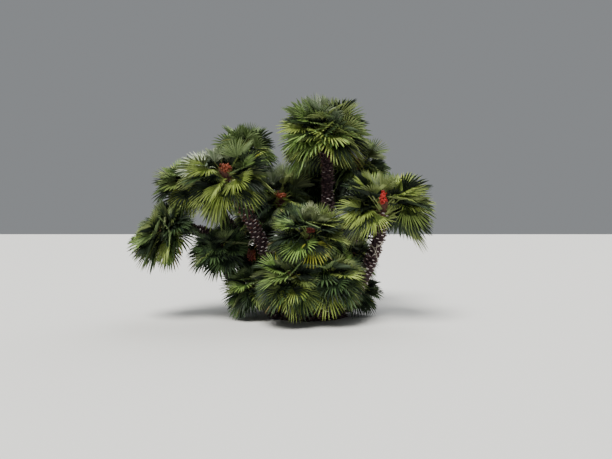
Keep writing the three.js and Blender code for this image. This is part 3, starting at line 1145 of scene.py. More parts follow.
@dataclass(frozen=True)
class FanBlade:
    """A frond's blade: folded leaflets that are joined near the hub, free beyond, and pointed or forked.

    Angles are in degrees, heights and depths in millimetres, and scatters are shares.

    Attributes:
        rule: The rule that shapes the blade.
        free_steps: Where a leaflet's free part has its stations, from 0 to 1.
        widths: How much of its room a leaflet fills at each of them.
        widest: The half angle of a full-grown blade, which sets a leaflet's width before it is folded.
        split: How far out leaflets part in the middle and at the sides, against the blade.
        rib: The depth of a leaflet's rib at its first and last station.
        pleat: How much wider leaflets are than the spread that widest gives them.
        fork: How far apart the two points stand, against the leaflet's width.
        limp: How far a tip hangs on the youngest and the oldest frond, against its free part.
        turned_tips: The share of yellow or dry tips on the youngest frond, and what the oldest adds.
        joined_part: How much of a leaflet's map is its joined part.
    """

    rule: FrondRule
    leaflets: int = 25
    free_steps: tuple[float, ...] = (0.0, 0.56)
    widths: tuple[float, ...] = (1.0, 0.68)
    is_forked: bool = True
    widest: float = 114
    hub_share: float = 0.035
    split: tuple[float, float] = (0.46, 0.34)
    rib: tuple[float, float] = (4.0, 1.2)
    side_shortening: float = 0.25
    pleat: float = 1.28
    fork: float = 0.45
    wander: float = 1.4
    twist: float = 14
    limp: tuple[float, float] = (0.03, 0.22)
    # Painted light: the share of leaflets whose tip takes the lightest shade.
    sunlit_tips: float = 0.6
    lowest: float = 8.0
    length_scatter: float = 0.05
    split_scatter: tuple[float, float] = (0.9, 1.08)
    limp_scatter: tuple[float, float] = (0.2, 1.0)
    vigour: tuple[float, float] = (0.88, 1.08)
    shade_weights: Triple = (3.0, 1.2, 3.0)
    # Painted shade: the share of leaflets darkened where they are joined near the hub.
    shaded_roots: float = 0.4
    other_unders: float = 0.25
    dry_from: float = 0.75
    turned_tips: tuple[float, float] = (0.003, 0.02)
    joined_part: float = 0.35

    # Three shades that differ at random; the dark one also paints shade at the roots, the light one light at
    # the tips.
    USUAL, DARK, LIGHT = range(3)
    JOINED, UPPER, UPPER_TIP, UNDER, UNDER_TIP = range(5)

    def faces(self) -> tuple[Array, Array]:
        """One leaflet's triangles, and for each which side and part of the leaflet it is.

        Returns:
            The triangles and their parts.
        """
        last = len(self.free_steps)
        quads = [((0, 1, 2, 3), self.UNDER)]
        for station in range(last):
            near, far = 4 * station, 4 * station + 4
            is_tip = station == last - 1
            upper = self.UPPER_TIP if is_tip else self.UPPER if station else self.JOINED
            under = self.UNDER_TIP if is_tip else self.UNDER
            quads += [
                ((near, far, far + 1, near + 1), upper),
                ((near + 1, far + 1, far + 2, near + 2), upper),
                ((near, near + 3, far + 3, far), under),
                ((near + 3, near + 2, far + 2, far + 3), under),
            ]
        triangles, parts = [], []
        for (a, b, c, d), part in quads:
            triangles += [(a, b, c), (a, c, d)]
            parts += [part, part]
        left, top, right, keel, tip = range(4 * last, 4 * last + 5)
        other = tip + 1 if self.is_forked else tip
        triangles += [(left, tip, top), (top, other, right), (left, keel, tip), (right, other, keel)]
        parts += [self.UPPER_TIP, self.UPPER_TIP, self.UNDER_TIP, self.UNDER_TIP]
        if self.is_forked:
            triangles += [(top, tip, keel), (top, keel, other)]
            parts += [self.UNDER_TIP] * 2
        return np.array(triangles), np.array(parts)

    def corners(self, plan: Plan, random: np.random.Generator) -> Array:
        """The corners of every leaflet of a frond.

        Args:
            plan: The frond.
            random: The source of the leaflets' small differences.

        Returns:
            Points in millimetres, (leaflets, corners, 3).
        """
        count, stations = self.leaflets, len(self.free_steps) + 1
        angle = plan.half_angle * ((np.arange(count) + 0.5) * 2 / count - 1)
        outer = (angle / plan.half_angle) ** 2
        length = plan.blade * (1 - self.side_shortening * outer)
        length = length * (1 - self.length_scatter * random.random(count))
        split = plan.blade * lerp(*self.split, outer) * random.uniform(*self.split_scatter, count)
        free = (length - split)[:, None]
        steps = np.array([0.0, *self.free_steps, 1.0])
        distance = split[:, None] + free * steps
        distance[:, 0] = self.hub_share * plan.blade
        wander = np.radians(random.normal(0, self.wander, count))[:, None]
        centre = self.rule.blade_points(plan, angle[:, None] + wander * steps, distance)
        limp = lerp(*self.limp, plan.age) * random.uniform(*self.limp_scatter, count)[:, None]
        centre[..., 2] -= limp * free * steps**2

        along = unit(np.gradient(centre, axis=1))
        across = (plan.side * np.cos(angle)[:, None] - plan.forward * np.sin(angle)[:, None])[:, None, :]
        across = unit(across - along * np.sum(along * across, -1, keepdims=True))
        normal = np.cross(along, across)
        turn = np.radians(random.normal(0, self.twist, count))[:, None] * np.minimum(steps * 2, 1)
        cosine, sine = np.cos(turn)[..., None], np.sin(turn)[..., None]
        across, normal = across * cosine + normal * sine, normal * cosine - across * sine

        vigour = random.uniform(*self.vigour, count)[:, None]
        reach = np.concatenate([distance[:, :1], split[:, None] * np.array(self.widths) * vigour], 1)
        flat = reach * math.tan(plan.half_angle / count)
        full = reach * math.tan(math.radians(self.widest) / count) * self.pleat
        raised = np.sqrt(np.maximum(full**2 - flat**2, 0))[..., None] / 2
        flat = flat[..., None]
        middle, sideways, out = centre[:, :stations], across[:, :stations], normal[:, :stations]
        top = middle - out * raised
        keel = top - out * np.linspace(*self.rib, stations)[None, :, None]
        left = middle - sideways * flat + out * raised
        right = middle + sideways * flat + out * raised
        body = np.stack([left, top, right, keel], 2).reshape(count, -1, 3)
        ends = centre[:, -1:]
        if self.is_forked:
            spread = (across[:, -1] * flat[:, -1] * self.fork)[:, None]
            ends = np.concatenate([ends - spread, ends + spread], 1)
        points = np.concatenate([body, ends], 1)
        points[..., 2] = np.maximum(points[..., 2], self.lowest)
        return points

    def patch(self, plan: Plan, state: LeafState, palette: LeafPalette, random: np.random.Generator) -> Patch:
        """A frond's blade.

        Args:
            plan: The frond.
            state: Its condition.
            palette: The leaf finishes.
            random: The source of small differences.

        Returns:
            The blade's triangles.
        """
        points = self.corners(plan, random)
        faces, parts = self.faces()
        count = self.leaflets
        mix = random.dirichlet(self.shade_weights)
        shades = random.choice([self.USUAL, self.DARK, self.LIGHT], count, p=mix)
        # Painted shade on the joined roots and painted light on the tips.
        joined = np.where(random.random(count) < self.shaded_roots, self.DARK, self.USUAL)
        tips = np.where(random.random(count) < self.sunlit_tips, self.LIGHT, shades)
        under = random.integers(0, palette.UNDER_SHADES) + (random.random(count) < self.other_unders)
        looks = np.stack(
            [palette.upper(state, joined), palette.upper(state, shades), palette.upper(state, tips),
             palette.under(state, under), palette.under(state, under)], 1)
        tip_state = LeafState.DRY if plan.age > self.dry_from else LeafState.OLD
        at_first, with_age = self.turned_tips
        has_turned = random.random(count) < at_first + with_age * plan.age**4
        looks[has_turned, self.UPPER_TIP] = palette.upper(tip_state, shades[has_turned])
        looks[has_turned, self.UNDER_TIP] = palette.under(tip_state, under[has_turned])
        stations, ends = len(self.free_steps) + 1, 2 if self.is_forked else 1
        across = [0.0, 0.5, 1.0, 0.5] * stations + [0.5] * ends
        joined_and_free = [0.0, *(lerp(self.joined_part, 1.0, step) for step in self.free_steps)]
        along = [*np.repeat(joined_and_free, 4), *[1.0] * ends]
        places = np.stack([across, along], 1)
        offsets = (np.arange(count) * len(places))[:, None, None]
        return Patch(
            points.reshape(-1, 3) * MM,
            (faces[None] + offsets).reshape(-1, 3),
            looks[:, parts].ravel(),
            np.tile(places, (count, 1)),
        )


def prism(rings: Array, slot: int, tip: Optional[Array] = None) -> Patch:
    """A closed three-sided limb.

    Args:
        rings: Its corners, (rings, 3, 3), each ring anticlockwise seen from the end it runs to.
        slot: Its finish number.
        tip: The point that it ends in, or None for a flat end.

    Returns:
        The limb's triangles.
    """
    count = len(rings)
    faces = []
    for ring in range(count - 1):
        for corner in range(3):
            a, b = 3 * ring + corner, 3 * ring + (corner + 1) % 3
            faces += [(a, b, b + 3), (a, b + 3, a + 3)]
    faces.append((0, 2, 1))
    last = 3 * (count - 1)
    points = rings.reshape(-1, 3)
    if tip is None:
        faces.append((last, last + 1, last + 2))
    else:
        faces += [(last + corner, last + (corner + 1) % 3, last + 3) for corner in range(3)]
        points = np.vstack([points, tip])
    places = np.zeros((len(points), 2))
    places[:, 1] = np.arange(len(points)) // 3
    return Patch(points, np.array(faces), np.full(len(faces), slot), places)


def tube(path: Array, radii: Array, slot: int) -> Patch:
    """A thin three-sided stalk along a path.

    Args:
        path: Its points, (points, 3), in metres.
        radii: Its radius at each point.
        slot: Its finish number.

    Returns:
        The stalk's triangles.
    """
    along = unit(np.gradient(path, axis=0))
    helper = np.where(np.abs(along[:, 2:3]) > NEARLY_UPRIGHT, np.array([[1.0, 0.0, 0.0]]), UP[None])
    across = unit(np.cross(helper, along))
    out = np.cross(along, across)
    cosine, sine = np.cos(THIRDS_OF_A_TURN)[None, :, None], np.sin(THIRDS_OF_A_TURN)[None, :, None]
    circle = across[:, None] * cosine + out[:, None] * sine
    return prism(path[:, None] + circle * radii[:, None, None], slot)


@dataclass(frozen=True)
class Petiole:
    """A frond's stalk: three-sided, widest where it clasps the stem, with spines along both edges.

    Sizes are in millimetres for a girth of 1. Half widths and depths run from the stem to the blade, and the
    heights and distances where it leaves the stem's head from the youngest frond to the oldest. The arch,
    reach, overlap and run and the spines' height and lean are shares.
    """

    half_widths: tuple[float, ...] = (34, 17, 12.5, 10, 8.5)
    depths: tuple[float, ...] = (28, 18, 14, 11, 8)
    arch: float = 0.035
    reach_on: float = 0.04
    overlap: float = 0.07
    heights: tuple[float, float] = (115, -185)
    distances: tuple[float, float] = (12, 62)
    out_by: float = 0.5
    lowest: float = 8
    spines: int = 7
    spine_run: tuple[float, float] = (0.2, 0.88)
    spine_length: float = 13
    spine_root: float = 4
    spine_height: float = 0.6
    spine_lean: float = 0.7
    spine_sunk: float = 1

    GREEN, SPINE = range(2)

    def start_of(self, plan: Plan, layout: Layout) -> Array:
        """Where the petiole leaves the leaf-base head: lower and further out with age.

        Args:
            plan: The frond.
            layout: Its crown's layout.

        Returns:
            The point.
        """
        axis, girth = layout.axis, layout.crown.girth
        out = unit(plan.direction - axis * (plan.direction @ axis) + layout.across * TINY)
        height = lerp(*self.heights, plan.age)
        distance = lerp(*self.distances, smoothstep(plan.age, 0, self.out_by))
        return layout.heart + axis * height * girth + out * distance * girth

    def patch(self, plan: Plan, layout: Layout, has_spines: bool = True) -> Patch:
        """A frond's petiole and its spines.

        Args:
            plan: The frond.
            layout: Its crown's layout.
            has_spines: Whether it shows its spines.

        Returns:
            The petiole's triangles.
        """
        start = self.start_of(plan, layout)
        end = plan.hub + plan.forward * plan.blade * self.overlap
        length = float(np.linalg.norm(end - start))
        middle = (start + end) / 2 + UP * length * self.arch + plan.direction * length * self.reach_on
        control = 2 * middle - (start + end) / 2
        shares = np.linspace(0, 1, len(self.half_widths))[:, None]
        path = (1 - shares) ** 2 * start + 2 * shares * (1 - shares) * control + shares**2 * end
        run = unit(np.gradient(path, axis=0))
        side = unit(plan.side - run * (run @ plan.side)[:, None])
        normal = np.cross(run, side)
        girth = layout.crown.girth
        widths = np.array(self.half_widths)[:, None] * girth
        left = path - side * widths
        right = path + side * widths
        keel = path - normal * np.array(self.depths)[:, None] * girth
        rings = np.stack([left, keel, right], 1)
        rings[..., 2] = np.maximum(rings[..., 2], self.lowest)
        patches = [prism(rings * MM, self.GREEN)]
        if has_spines:
            places = np.linspace(*self.spine_run, self.spines)
            patches += [self._spine(path, side, run, widths, share) for share in places]
        return Patch.joined(patches)

    def _spine(self, path: Array, side: Array, run: Array, widths: Array, share: float) -> Patch:
        """The pair of spines a share of the way along a petiole.

        Args:
            path: The petiole's middle line.
            side: The directions to its right edge.
            run: Its own directions.
            widths: Its half widths.
            share: The share of the way.

        Returns:
            Both spines.
        """
        place = share * (len(path) - 1)
        below = int(place)
        part = place - below
        centre, across, ahead, width = (
            values[below] * (1 - part) + values[below + 1] * part for values in (path, side, run, widths)
        )
        root, length = self.spine_root, self.spine_length
        pair = []
        for way in (-1, 1):
            edge = centre + across * way * (width - self.spine_sunk)
            up = np.cross(ahead, across)
            ring = np.array([edge - ahead * root, edge + up * root * self.spine_height, edge + ahead * root])
            if way < 0:
                ring = ring[::-1]
            tip = edge + across * way * length + ahead * length * self.spine_lean
            pair.append(prism(ring[None] * MM, self.SPINE, tip * MM))
        return Patch.joined(pair)


BARK, STUB, CUT, FIBRE, HEAD, DIM_CUT = range(6)
BARK_FINISHES = (
    FibrousFinish("bark", (24, 14, 20), (64, 47, 52), 45, 0.3, 0.8, 0.008),
    FibrousFinish("leaf_base", (44, 29, 34), (110, 87, 87), 80, 0.3, 0.6, 0.003),
    # Cut ends: near white, partly their pale fibre and partly a painted highlight; the dim ends stand for
    # painted shade.
    FibrousFinish("cut_leaf_base", (184, 168, 164), (246, 238, 232), 120, 1.0, 0.5, 0.002),
    FibrousFinish("fibre", (44, 30, 28), (108, 82, 68), 90, 0.2, 0.4, 0.002),
    FibrousFinish("head_fibre", (60, 36, 33), (130, 90, 80), 70, 0.2, 0.7, 0.005),
    FibrousFinish("dim_cut_leaf_base", (84, 68, 70), (150, 132, 128), 120, 1.0, 0.5, 0.002),
)
PETIOLE_FINISHES = (
    FibrousFinish("petiole", (104, 122, 62), (150, 160, 98), 60, 0.3, 0.25, 0.001),
    FibrousFinish("spine", (150, 140, 84), (186, 172, 116), 80, 1.0, 0.2, 0.001),
)
FRUIT_FINISHES = (
    FruitFinish("red_fruit", (138, 20, 18), (188, 40, 28)),
    FruitFinish("orange_fruit", (98, 42, 24), (152, 72, 38)),
    FruitFinish("old_fruit", (72, 26, 22), (116, 48, 32)),
    FibrousFinish("fruit_stalk", (150, 122, 66), (190, 164, 96), 60, 0.3, 0.3, 0.001),
    FibrousFinish("dry_stalk", (176, 164, 150), (226, 218, 204), 60, 0.3, 0.3, 0.001),
)


@dataclass(frozen=True)
class LeafBase:
    """The stump that a cut frond leaves: a tapered wedge with a pale, slightly hollow end.

    Sizes are in metres for a girth of 1. The waist is the size halfway against the foot's, the taper the
    end's size against the waist's, and the bend how far the end is tipped, in radians.
    """

    width: float = 0.052
    thickness: float = 0.026
    length: float = 0.046
    waist: tuple[float, float] = (0.88, 0.86)
    taper: float = 0.94
    bend: float = 0.35
    rim: float = 0.0030
    hollow: float = 0.0025
    end_faces: float = 0.6

    SIDE, END = range(2)

    def model(self) -> Patch:
        """Models one stump, standing on the origin and running up Z.

        Returns:
            Its triangles, numbered by side and end.
        """
        deselect_all()
        bpy.ops.mesh.primitive_cube_add(size=1)
        piece = bpy.context.object
        half = self.length * 0.5
        bpy.ops.object.mode_set(mode="EDIT")
        bpy.ops.mesh.select_mode(type="FACE")
        bpy.ops.transform.translate(value=(0, 0, 0.5))
        bpy.ops.transform.resize(value=(self.width, self.thickness, half), center_override=(0, 0, 0))
        self._select_end(piece)
        bpy.ops.transform.resize(value=(*self.waist, 1), center_override=(0, 0, 0))
        bpy.ops.mesh.extrude_region_move(TRANSFORM_OT_translate={"value": (0, 0, half)})
        bpy.ops.transform.resize(value=(self.taper, self.taper, 1), center_override=(0, 0, 0))
        bpy.ops.transform.rotate(value=self.bend, orient_axis="X", center_override=(0, 0, self.length))
        bpy.ops.mesh.inset(thickness=self.rim)
        bpy.ops.transform.translate(value=(0, 0, -self.hollow))
        bpy.ops.object.mode_set(mode="OBJECT")
        piece.data.materials.append(None)
        piece.data.materials.append(None)
        top = max(piece.data.polygons, key=lambda polygon: polygon.center.z)
        for polygon in piece.data.polygons:
            near_end = polygon.center.z > top.center.z - self.rim * 2
            is_end = near_end and abs(polygon.normal.z) > self.end_faces
            polygon.material_index = self.END if is_end else self.SIDE
        return Patch.of_object(piece)

    @staticmethod
    def _select_end(piece: bpy.types.Object) -> None:
        """Selects the face that looks up.

        Args:
            piece: The stump, in edit mode.
        """
        bpy.ops.mesh.select_all(action="DESELECT")
        bpy.ops.object.mode_set(mode="OBJECT")
        for polygon in piece.data.polygons:
            polygon.select = polygon.normal.z > NEARLY_UPRIGHT
        bpy.ops.object.mode_set(mode="EDIT")


def strand_template() -> Patch:
    """Models a thin bent strand of fibre.

    Returns:
        The strand, of unit length up Z and unit radius at its foot.
    """
    rings = []
    for height, radius, shift in ((0.0, 1.0, 0.0), (0.45, 0.8, 0.05)):
        along, across = np.cos(THIRDS_OF_A_TURN) * radius, np.sin(THIRDS_OF_A_TURN) * radius
        rings.append(np.stack([along + shift, across, np.full(3, height)], 1))
    return prism(np.array(rings), FIBRE, np.array([0.22, 0.0, 1.0]))


@dataclass(frozen=True)
class Seats:
    """Where leaf bases stand, in millimetres, and the directions along, out from and round the stem there."""

    feet: Array
    axes: Array
    outward: Array
    across: Array

    def picked(self, chosen: Array) -> "Seats":
        """The seats that a mask or an index picks."""
        return Seats(*(values[chosen] for values in (self.feet, self.axes, self.outward, self.across)))


@dataclass(frozen=True)
class Stem:
    """A stem: a rough woody core set with leaf bases in a spiral and threaded with fibre, and its head.

    Sizes are in millimetres for a girth of 1, and angles in degrees. In metres are the reliefs, each a scale
    and a strength, the height from the heart up from which the head has its own finish, and the lengths and
    radii of strands. The turn's scatter is in radians. Other scatters, sizes and ways are shares.
    """

    base: Patch
    strand: Patch
    foot_radius: float = 122
    top_radius: float = 98
    flare: float = 24
    flare_share: float = 0.17
    core_share: float = 0.86
    below_ground: float = 90
    head_above: float = 165
    head_top: float = 58
    head_from: float = -0.2
    head_steps: tuple[float, float] = (0.1, 1)
    head_points: int = 9
    spacing: float = 45
    fewest_points: int = 8
    sides: int = 6
    reliefs: tuple[tuple[float, float], ...] = ((0.11, 0.026), (0.03, 0.012))
    first_base: float = 170
    bare_top: float = 40
    base_pitch: float = 8
    pitch_scatter: float = 7
    turn_scatter: float = 0.12
    missing: float = 0.06
    base_sunk: float = 10
    lowest_foot: float = 25
    base_lean: float = 66
    lean_scatter: float = 7
    base_skew: float = 0.12
    base_sizes: tuple[float, float] = (0.8, 1.15)
    base_lengths: tuple[float, float] = (0.75, 1.2)
    red_scatter: float = 0.05
    strands_per_base: int = 2
    strand_aside: float = 34
    strand_heights: tuple[float, float] = (-10, 26)
    strand_out: tuple[float, float] = (0.25, 0.95)
    strand_ways: tuple[float, ...] = (1.0, 1.0, 0.3, -0.6)
    strand_fan: float = 0.6
    strand_scatter: float = 0.35
    strand_lengths: tuple[float, float] = (0.04, 0.095)
    strand_radii: tuple[float, float] = (0.0012, 0.0026)

    def path(self, layout: Layout) -> tuple[Array, Array, Array]:
        """The core's middle line, from below ground to the head's top.

        Args:
            layout: The crown's layout.

        Returns:
            Its points, its directions and the solids' radius at each, in millimetres.
        """
        girth = layout.crown.girth
        shares = np.linspace(0, 1, max(self.fewest_points, round(layout.stem_length() / self.spacing)))
        points = [layout.stem_point(share) for share in shares]
        directions = [layout.stem_direction(share) for share in shares]
        radii = [
            girth * (lerp(self.foot_radius, self.top_radius, share)
                     + self.flare * max(0, 1 - share / self.flare_share))
            for share in shares
        ]
        start = directions[0]
        points.insert(0, points[0] - start * self.below_ground / start[2])
        directions.insert(0, start)
        radii.insert(0, radii[0])
        for share in np.linspace(*self.head_steps, self.head_points):
            height = lerp(-Layout.TIP_BELOW, self.head_above, share) * girth
            points.append(layout.heart + layout.axis * height)
            directions.append(layout.axis)
            radii.append(girth * lerp(self.top_radius, self.head_top / self.core_share, share**2))
        return np.array(points), np.array(directions), np.array(radii)

    def core(self, layout: Layout) -> Patch:
        """The woody core: a bevelled curve that is made a mesh, roughened and cut at the ground.

        Args:
            layout: The crown's layout.

        Returns:
            The core, in metres.
        """
        points, _, radii = self.path(layout)
        deselect_all()
        bpy.ops.curve.primitive_bezier_curve_add()
        curve = bpy.context.object.data
        curve.splines.clear()
        spline = curve.splines.new("POLY")
        spline.points.add(len(points) - 1)
        spline.points.foreach_set("co", np.c_[points * MM, np.ones(len(points))].ravel())
        spline.points.foreach_set("radius", radii * self.core_share * MM)
        curve.dimensions = "3D"
        curve.bevel_depth = 1.0
        curve.bevel_resolution = self.sides
        curve.use_fill_caps = True
        bpy.ops.object.convert(target="MESH")
        piece = bpy.context.object
        roughen(piece, self.reliefs)
        cut_at_ground()
        patch = Patch.of_object(piece)
        heights = (patch.vertices[patch.faces].mean(1) - layout.heart * MM) @ layout.axis
        patch.slots = np.where(heights > self.head_from * layout.crown.girth, HEAD, BARK)
        return patch

    def patch(self, layout: Layout, random: np.random.Generator) -> Patch:
        """The whole stem.

        Args:
            layout: The crown's layout.
            random: The source of small differences.

        Returns:
            Core, leaf bases and fibre in one patch.
        """
        core = self.core(layout)
        points, directions, radii = self.path(layout)
        run = np.concatenate([[0], np.cumsum(np.linalg.norm(np.diff(points, axis=0), axis=1))])
        girth = layout.crown.girth
        last = run[-1] - (self.head_above + self.bare_top) * girth
        heights = np.arange(self.first_base, last, self.base_pitch * girth)
        count = len(heights)
        heights = heights + random.uniform(-self.pitch_scatter, self.pitch_scatter, count)
        azimuths = np.arange(count) * GOLDEN_ANGLE + random.normal(0, self.turn_scatter, count)
        kept = random.random(count) > self.missing
        heights, azimuths = heights[kept], azimuths[kept]

        def at_heights(values: Array) -> Array:
            """What the middle line's points give, at the leaf bases' heights."""
            return np.stack([np.interp(heights, run, column) for column in values.T], 1)

        axes = unit(at_heights(directions))
        radius = np.interp(heights, run, radii) * self.core_share
        outward, across = ring_frames(axes, azimuths)
        feet = at_heights(points) + outward * (radius - self.base_sunk)[:, None]
        above = feet[:, 2] > self.lowest_foot
        seats = Seats(feet, axes, outward, across).picked(above)
        bases = self.bases(seats, girth, layout.crown.pale_cuts, random)
        share = heights[above] / run[-1]
        red_from = layout.crown.red_from + random.normal(0, self.red_scatter, len(share))
        is_red = np.repeat(share > red_from, len(self.base.faces))
        bases.slots = np.where(is_red & (bases.slots == STUB), HEAD, bases.slots)
        return Patch.joined([core, bases, self.fibres(seats, girth, random)])

    def bases(self, seats: Seats, girth: float, pale: float, random: np.random.Generator) -> Patch:
        """Leaf bases on some seats.

        Args:
            seats: Where they stand.
            girth: The scale of their sizes.
            pale: The share of them with a pale end.
            random: The source of small differences.

        Returns:
            The leaf bases in one patch, in metres.
        """
        count = len(seats.feet)
        lean = np.radians(self.base_lean + random.normal(0, self.lean_scatter, count))[:, None]
        up = seats.axes * np.cos(lean) + seats.outward * np.sin(lean)
        up = unit(up + seats.across * random.normal(0, self.base_skew, count)[:, None])
        side = unit(seats.across - up * np.sum(seats.across * up, 1, keepdims=True))
        thick = np.cross(up, side)
        sizes = girth * random.uniform(*self.base_sizes, (count, 3))
        sizes[:, 2] *= random.uniform(*self.base_lengths, count)
        frames = np.stack([side * sizes[:, :1], thick * sizes[:, 1:2], up * sizes[:, 2:]], 1)
        patch = self.base.copies(frames, seats.feet * MM)
        # Pale cut ends partly painted highlight, dim ones painted shade.
        cuts = np.repeat(np.where(random.random(count) < pale, CUT, DIM_CUT), len(self.base.faces))
        patch.slots = np.where(patch.slots == LeafBase.END, cuts, STUB)
        patch.vertices[:, 2] = np.maximum(patch.vertices[:, 2], LOWEST_BARK)
        return patch

    def fibres(self, seats: Seats, girth: float, random: np.random.Generator) -> Patch:
        """Loose fibre between the leaf bases.

        Args:
            seats: Where the leaf bases stand.
            girth: The scale of its sizes.
            random: The source of small differences.

        Returns:
            The strands in one patch, in metres.
        """
        seats = seats.picked(np.repeat(np.arange(len(seats.feet)), self.strands_per_base))
        count = len(seats.feet)
        sideways = random.uniform(-1, 1, count)[:, None]
        starts = seats.feet + seats.across * sideways * self.strand_aside * girth
        starts = starts + seats.axes * random.uniform(*self.strand_heights, count)[:, None]
        out_share = random.uniform(*self.strand_out, count)[:, None]
        up_share = random.choice(self.strand_ways, count)[:, None]
        aside = sideways * self.strand_fan + random.normal(0, self.strand_scatter, count)[:, None]
        run = unit(seats.axes * up_share + seats.outward * out_share + seats.across * aside)
        bend = unit(np.cross(run, random.normal(0, 1, (count, 3))))
        thick = np.cross(run, bend)
        lengths = random.uniform(*self.strand_lengths, count)[:, None] * girth
        radius = random.uniform(*self.strand_radii, count)[:, None]
        patch = self.strand.copies(np.stack([bend * radius, thick * radius, run * lengths], 1), starts * MM)
        patch.vertices[:, 2] = np.maximum(patch.vertices[:, 2], LOWEST_BARK)
        return patch


def ring_frames(axes: Array, azimuths: Array) -> tuple[Array, Array]:
    """Directions away from and round an axis at some turns about it.

    Args:
        axes: Unit directions.
        azimuths: Turns about them, in radians.

    Returns:
        The outward directions and the directions across them.
    """
    first = unit(np.cross(BACKWARD, axes))
    second = np.cross(axes, first)
    cosine, sine = np.cos(azimuths)[:, None], np.sin(azimuths)[:, None]
    outward = first * cosine + second * sine
    return outward, np.cross(axes, outward)


def cut_at_ground() -> None:
    """Cuts the active mesh flat at the ground and closes the cut."""
    bpy.ops.object.mode_set(mode="EDIT")
    bpy.ops.mesh.select_all(action="SELECT")
    bpy.ops.mesh.remove_doubles(threshold=0.0001)
    bpy.ops.mesh.normals_make_consistent(inside=False)
    bpy.ops.mesh.select_all(action="SELECT")
    bpy.ops.mesh.bisect(plane_co=(0, 0, GROUND_CUT), plane_no=(0, 0, 1), use_fill=True, clear_inner=True)
    bpy.ops.object.mode_set(mode="OBJECT")


@dataclass(frozen=True)
class Rootstock:
    """The low lobed mound that the stems rise from, set with old leaf bases.

    Sizes are in metres: the radius and half height of the ball that it is made from, how deep this is sunk,
    and the reliefs, each a scale and a strength.
    """

    stem: Stem
    radius: float = 0.74
    height: float = 0.46
    sunk: float = 0.17
    reliefs: tuple[tuple[float, float], ...] = ((0.3, 0.09), (0.07, 0.03))
    bases: int = 520
    set_out_to: float = 0.95
    base_sunk: float = 0.012
    # The share of pale cut ends on the mound; the pale ones are partly painted highlight.
    pale_cuts: float = 0.2

    def patch(self, random: np.random.Generator) -> Patch:
        """The mound with its leaf bases and fibre.

        Args:
            random: The source of small differences.

        Returns:
            All of it in one patch.
        """
        deselect_all()
        bpy.ops.mesh.primitive_uv_sphere_add(segments=64, ring_count=32, radius=1)
        piece = bpy.context.object
        bpy.ops.object.mode_set(mode="EDIT")
        bpy.ops.transform.resize(value=(self.radius, self.radius, self.height), center_override=(0, 0, 0))
        bpy.ops.transform.translate(value=(0, 0, -self.sunk))
        bpy.ops.object.mode_set(mode="OBJECT")
        roughen(piece, self.reliefs)
        cut_at_ground()
        mound = Patch.of_object(piece).with_slot(BARK)
        numbers = np.arange(self.bases)
        spread = np.sqrt((numbers + 0.5) / self.bases) * self.set_out_to
        azimuth = numbers * GOLDEN_ANGLE
        rise = np.sqrt(1 - spread**2)
        flat = np.stack([np.cos(azimuth), np.sin(azimuth), np.zeros(self.bases)], 1)
        feet = flat * (spread * self.radius)[:, None] + UP * (rise * self.height)[:, None]
        outward = unit(flat * (spread / self.radius)[:, None] + UP * (rise / self.height)[:, None])
        across = unit(np.cross(UP, flat))
        feet = (feet - outward * self.base_sunk - UP * self.sunk) / MM
        seats = Seats(feet, np.cross(outward, across), outward, across)
        bases = self.stem.bases(seats, 1.0, self.pale_cuts, random)
        return Patch.joined([mound, bases, self.stem.fibres(seats, 1.0, random)])


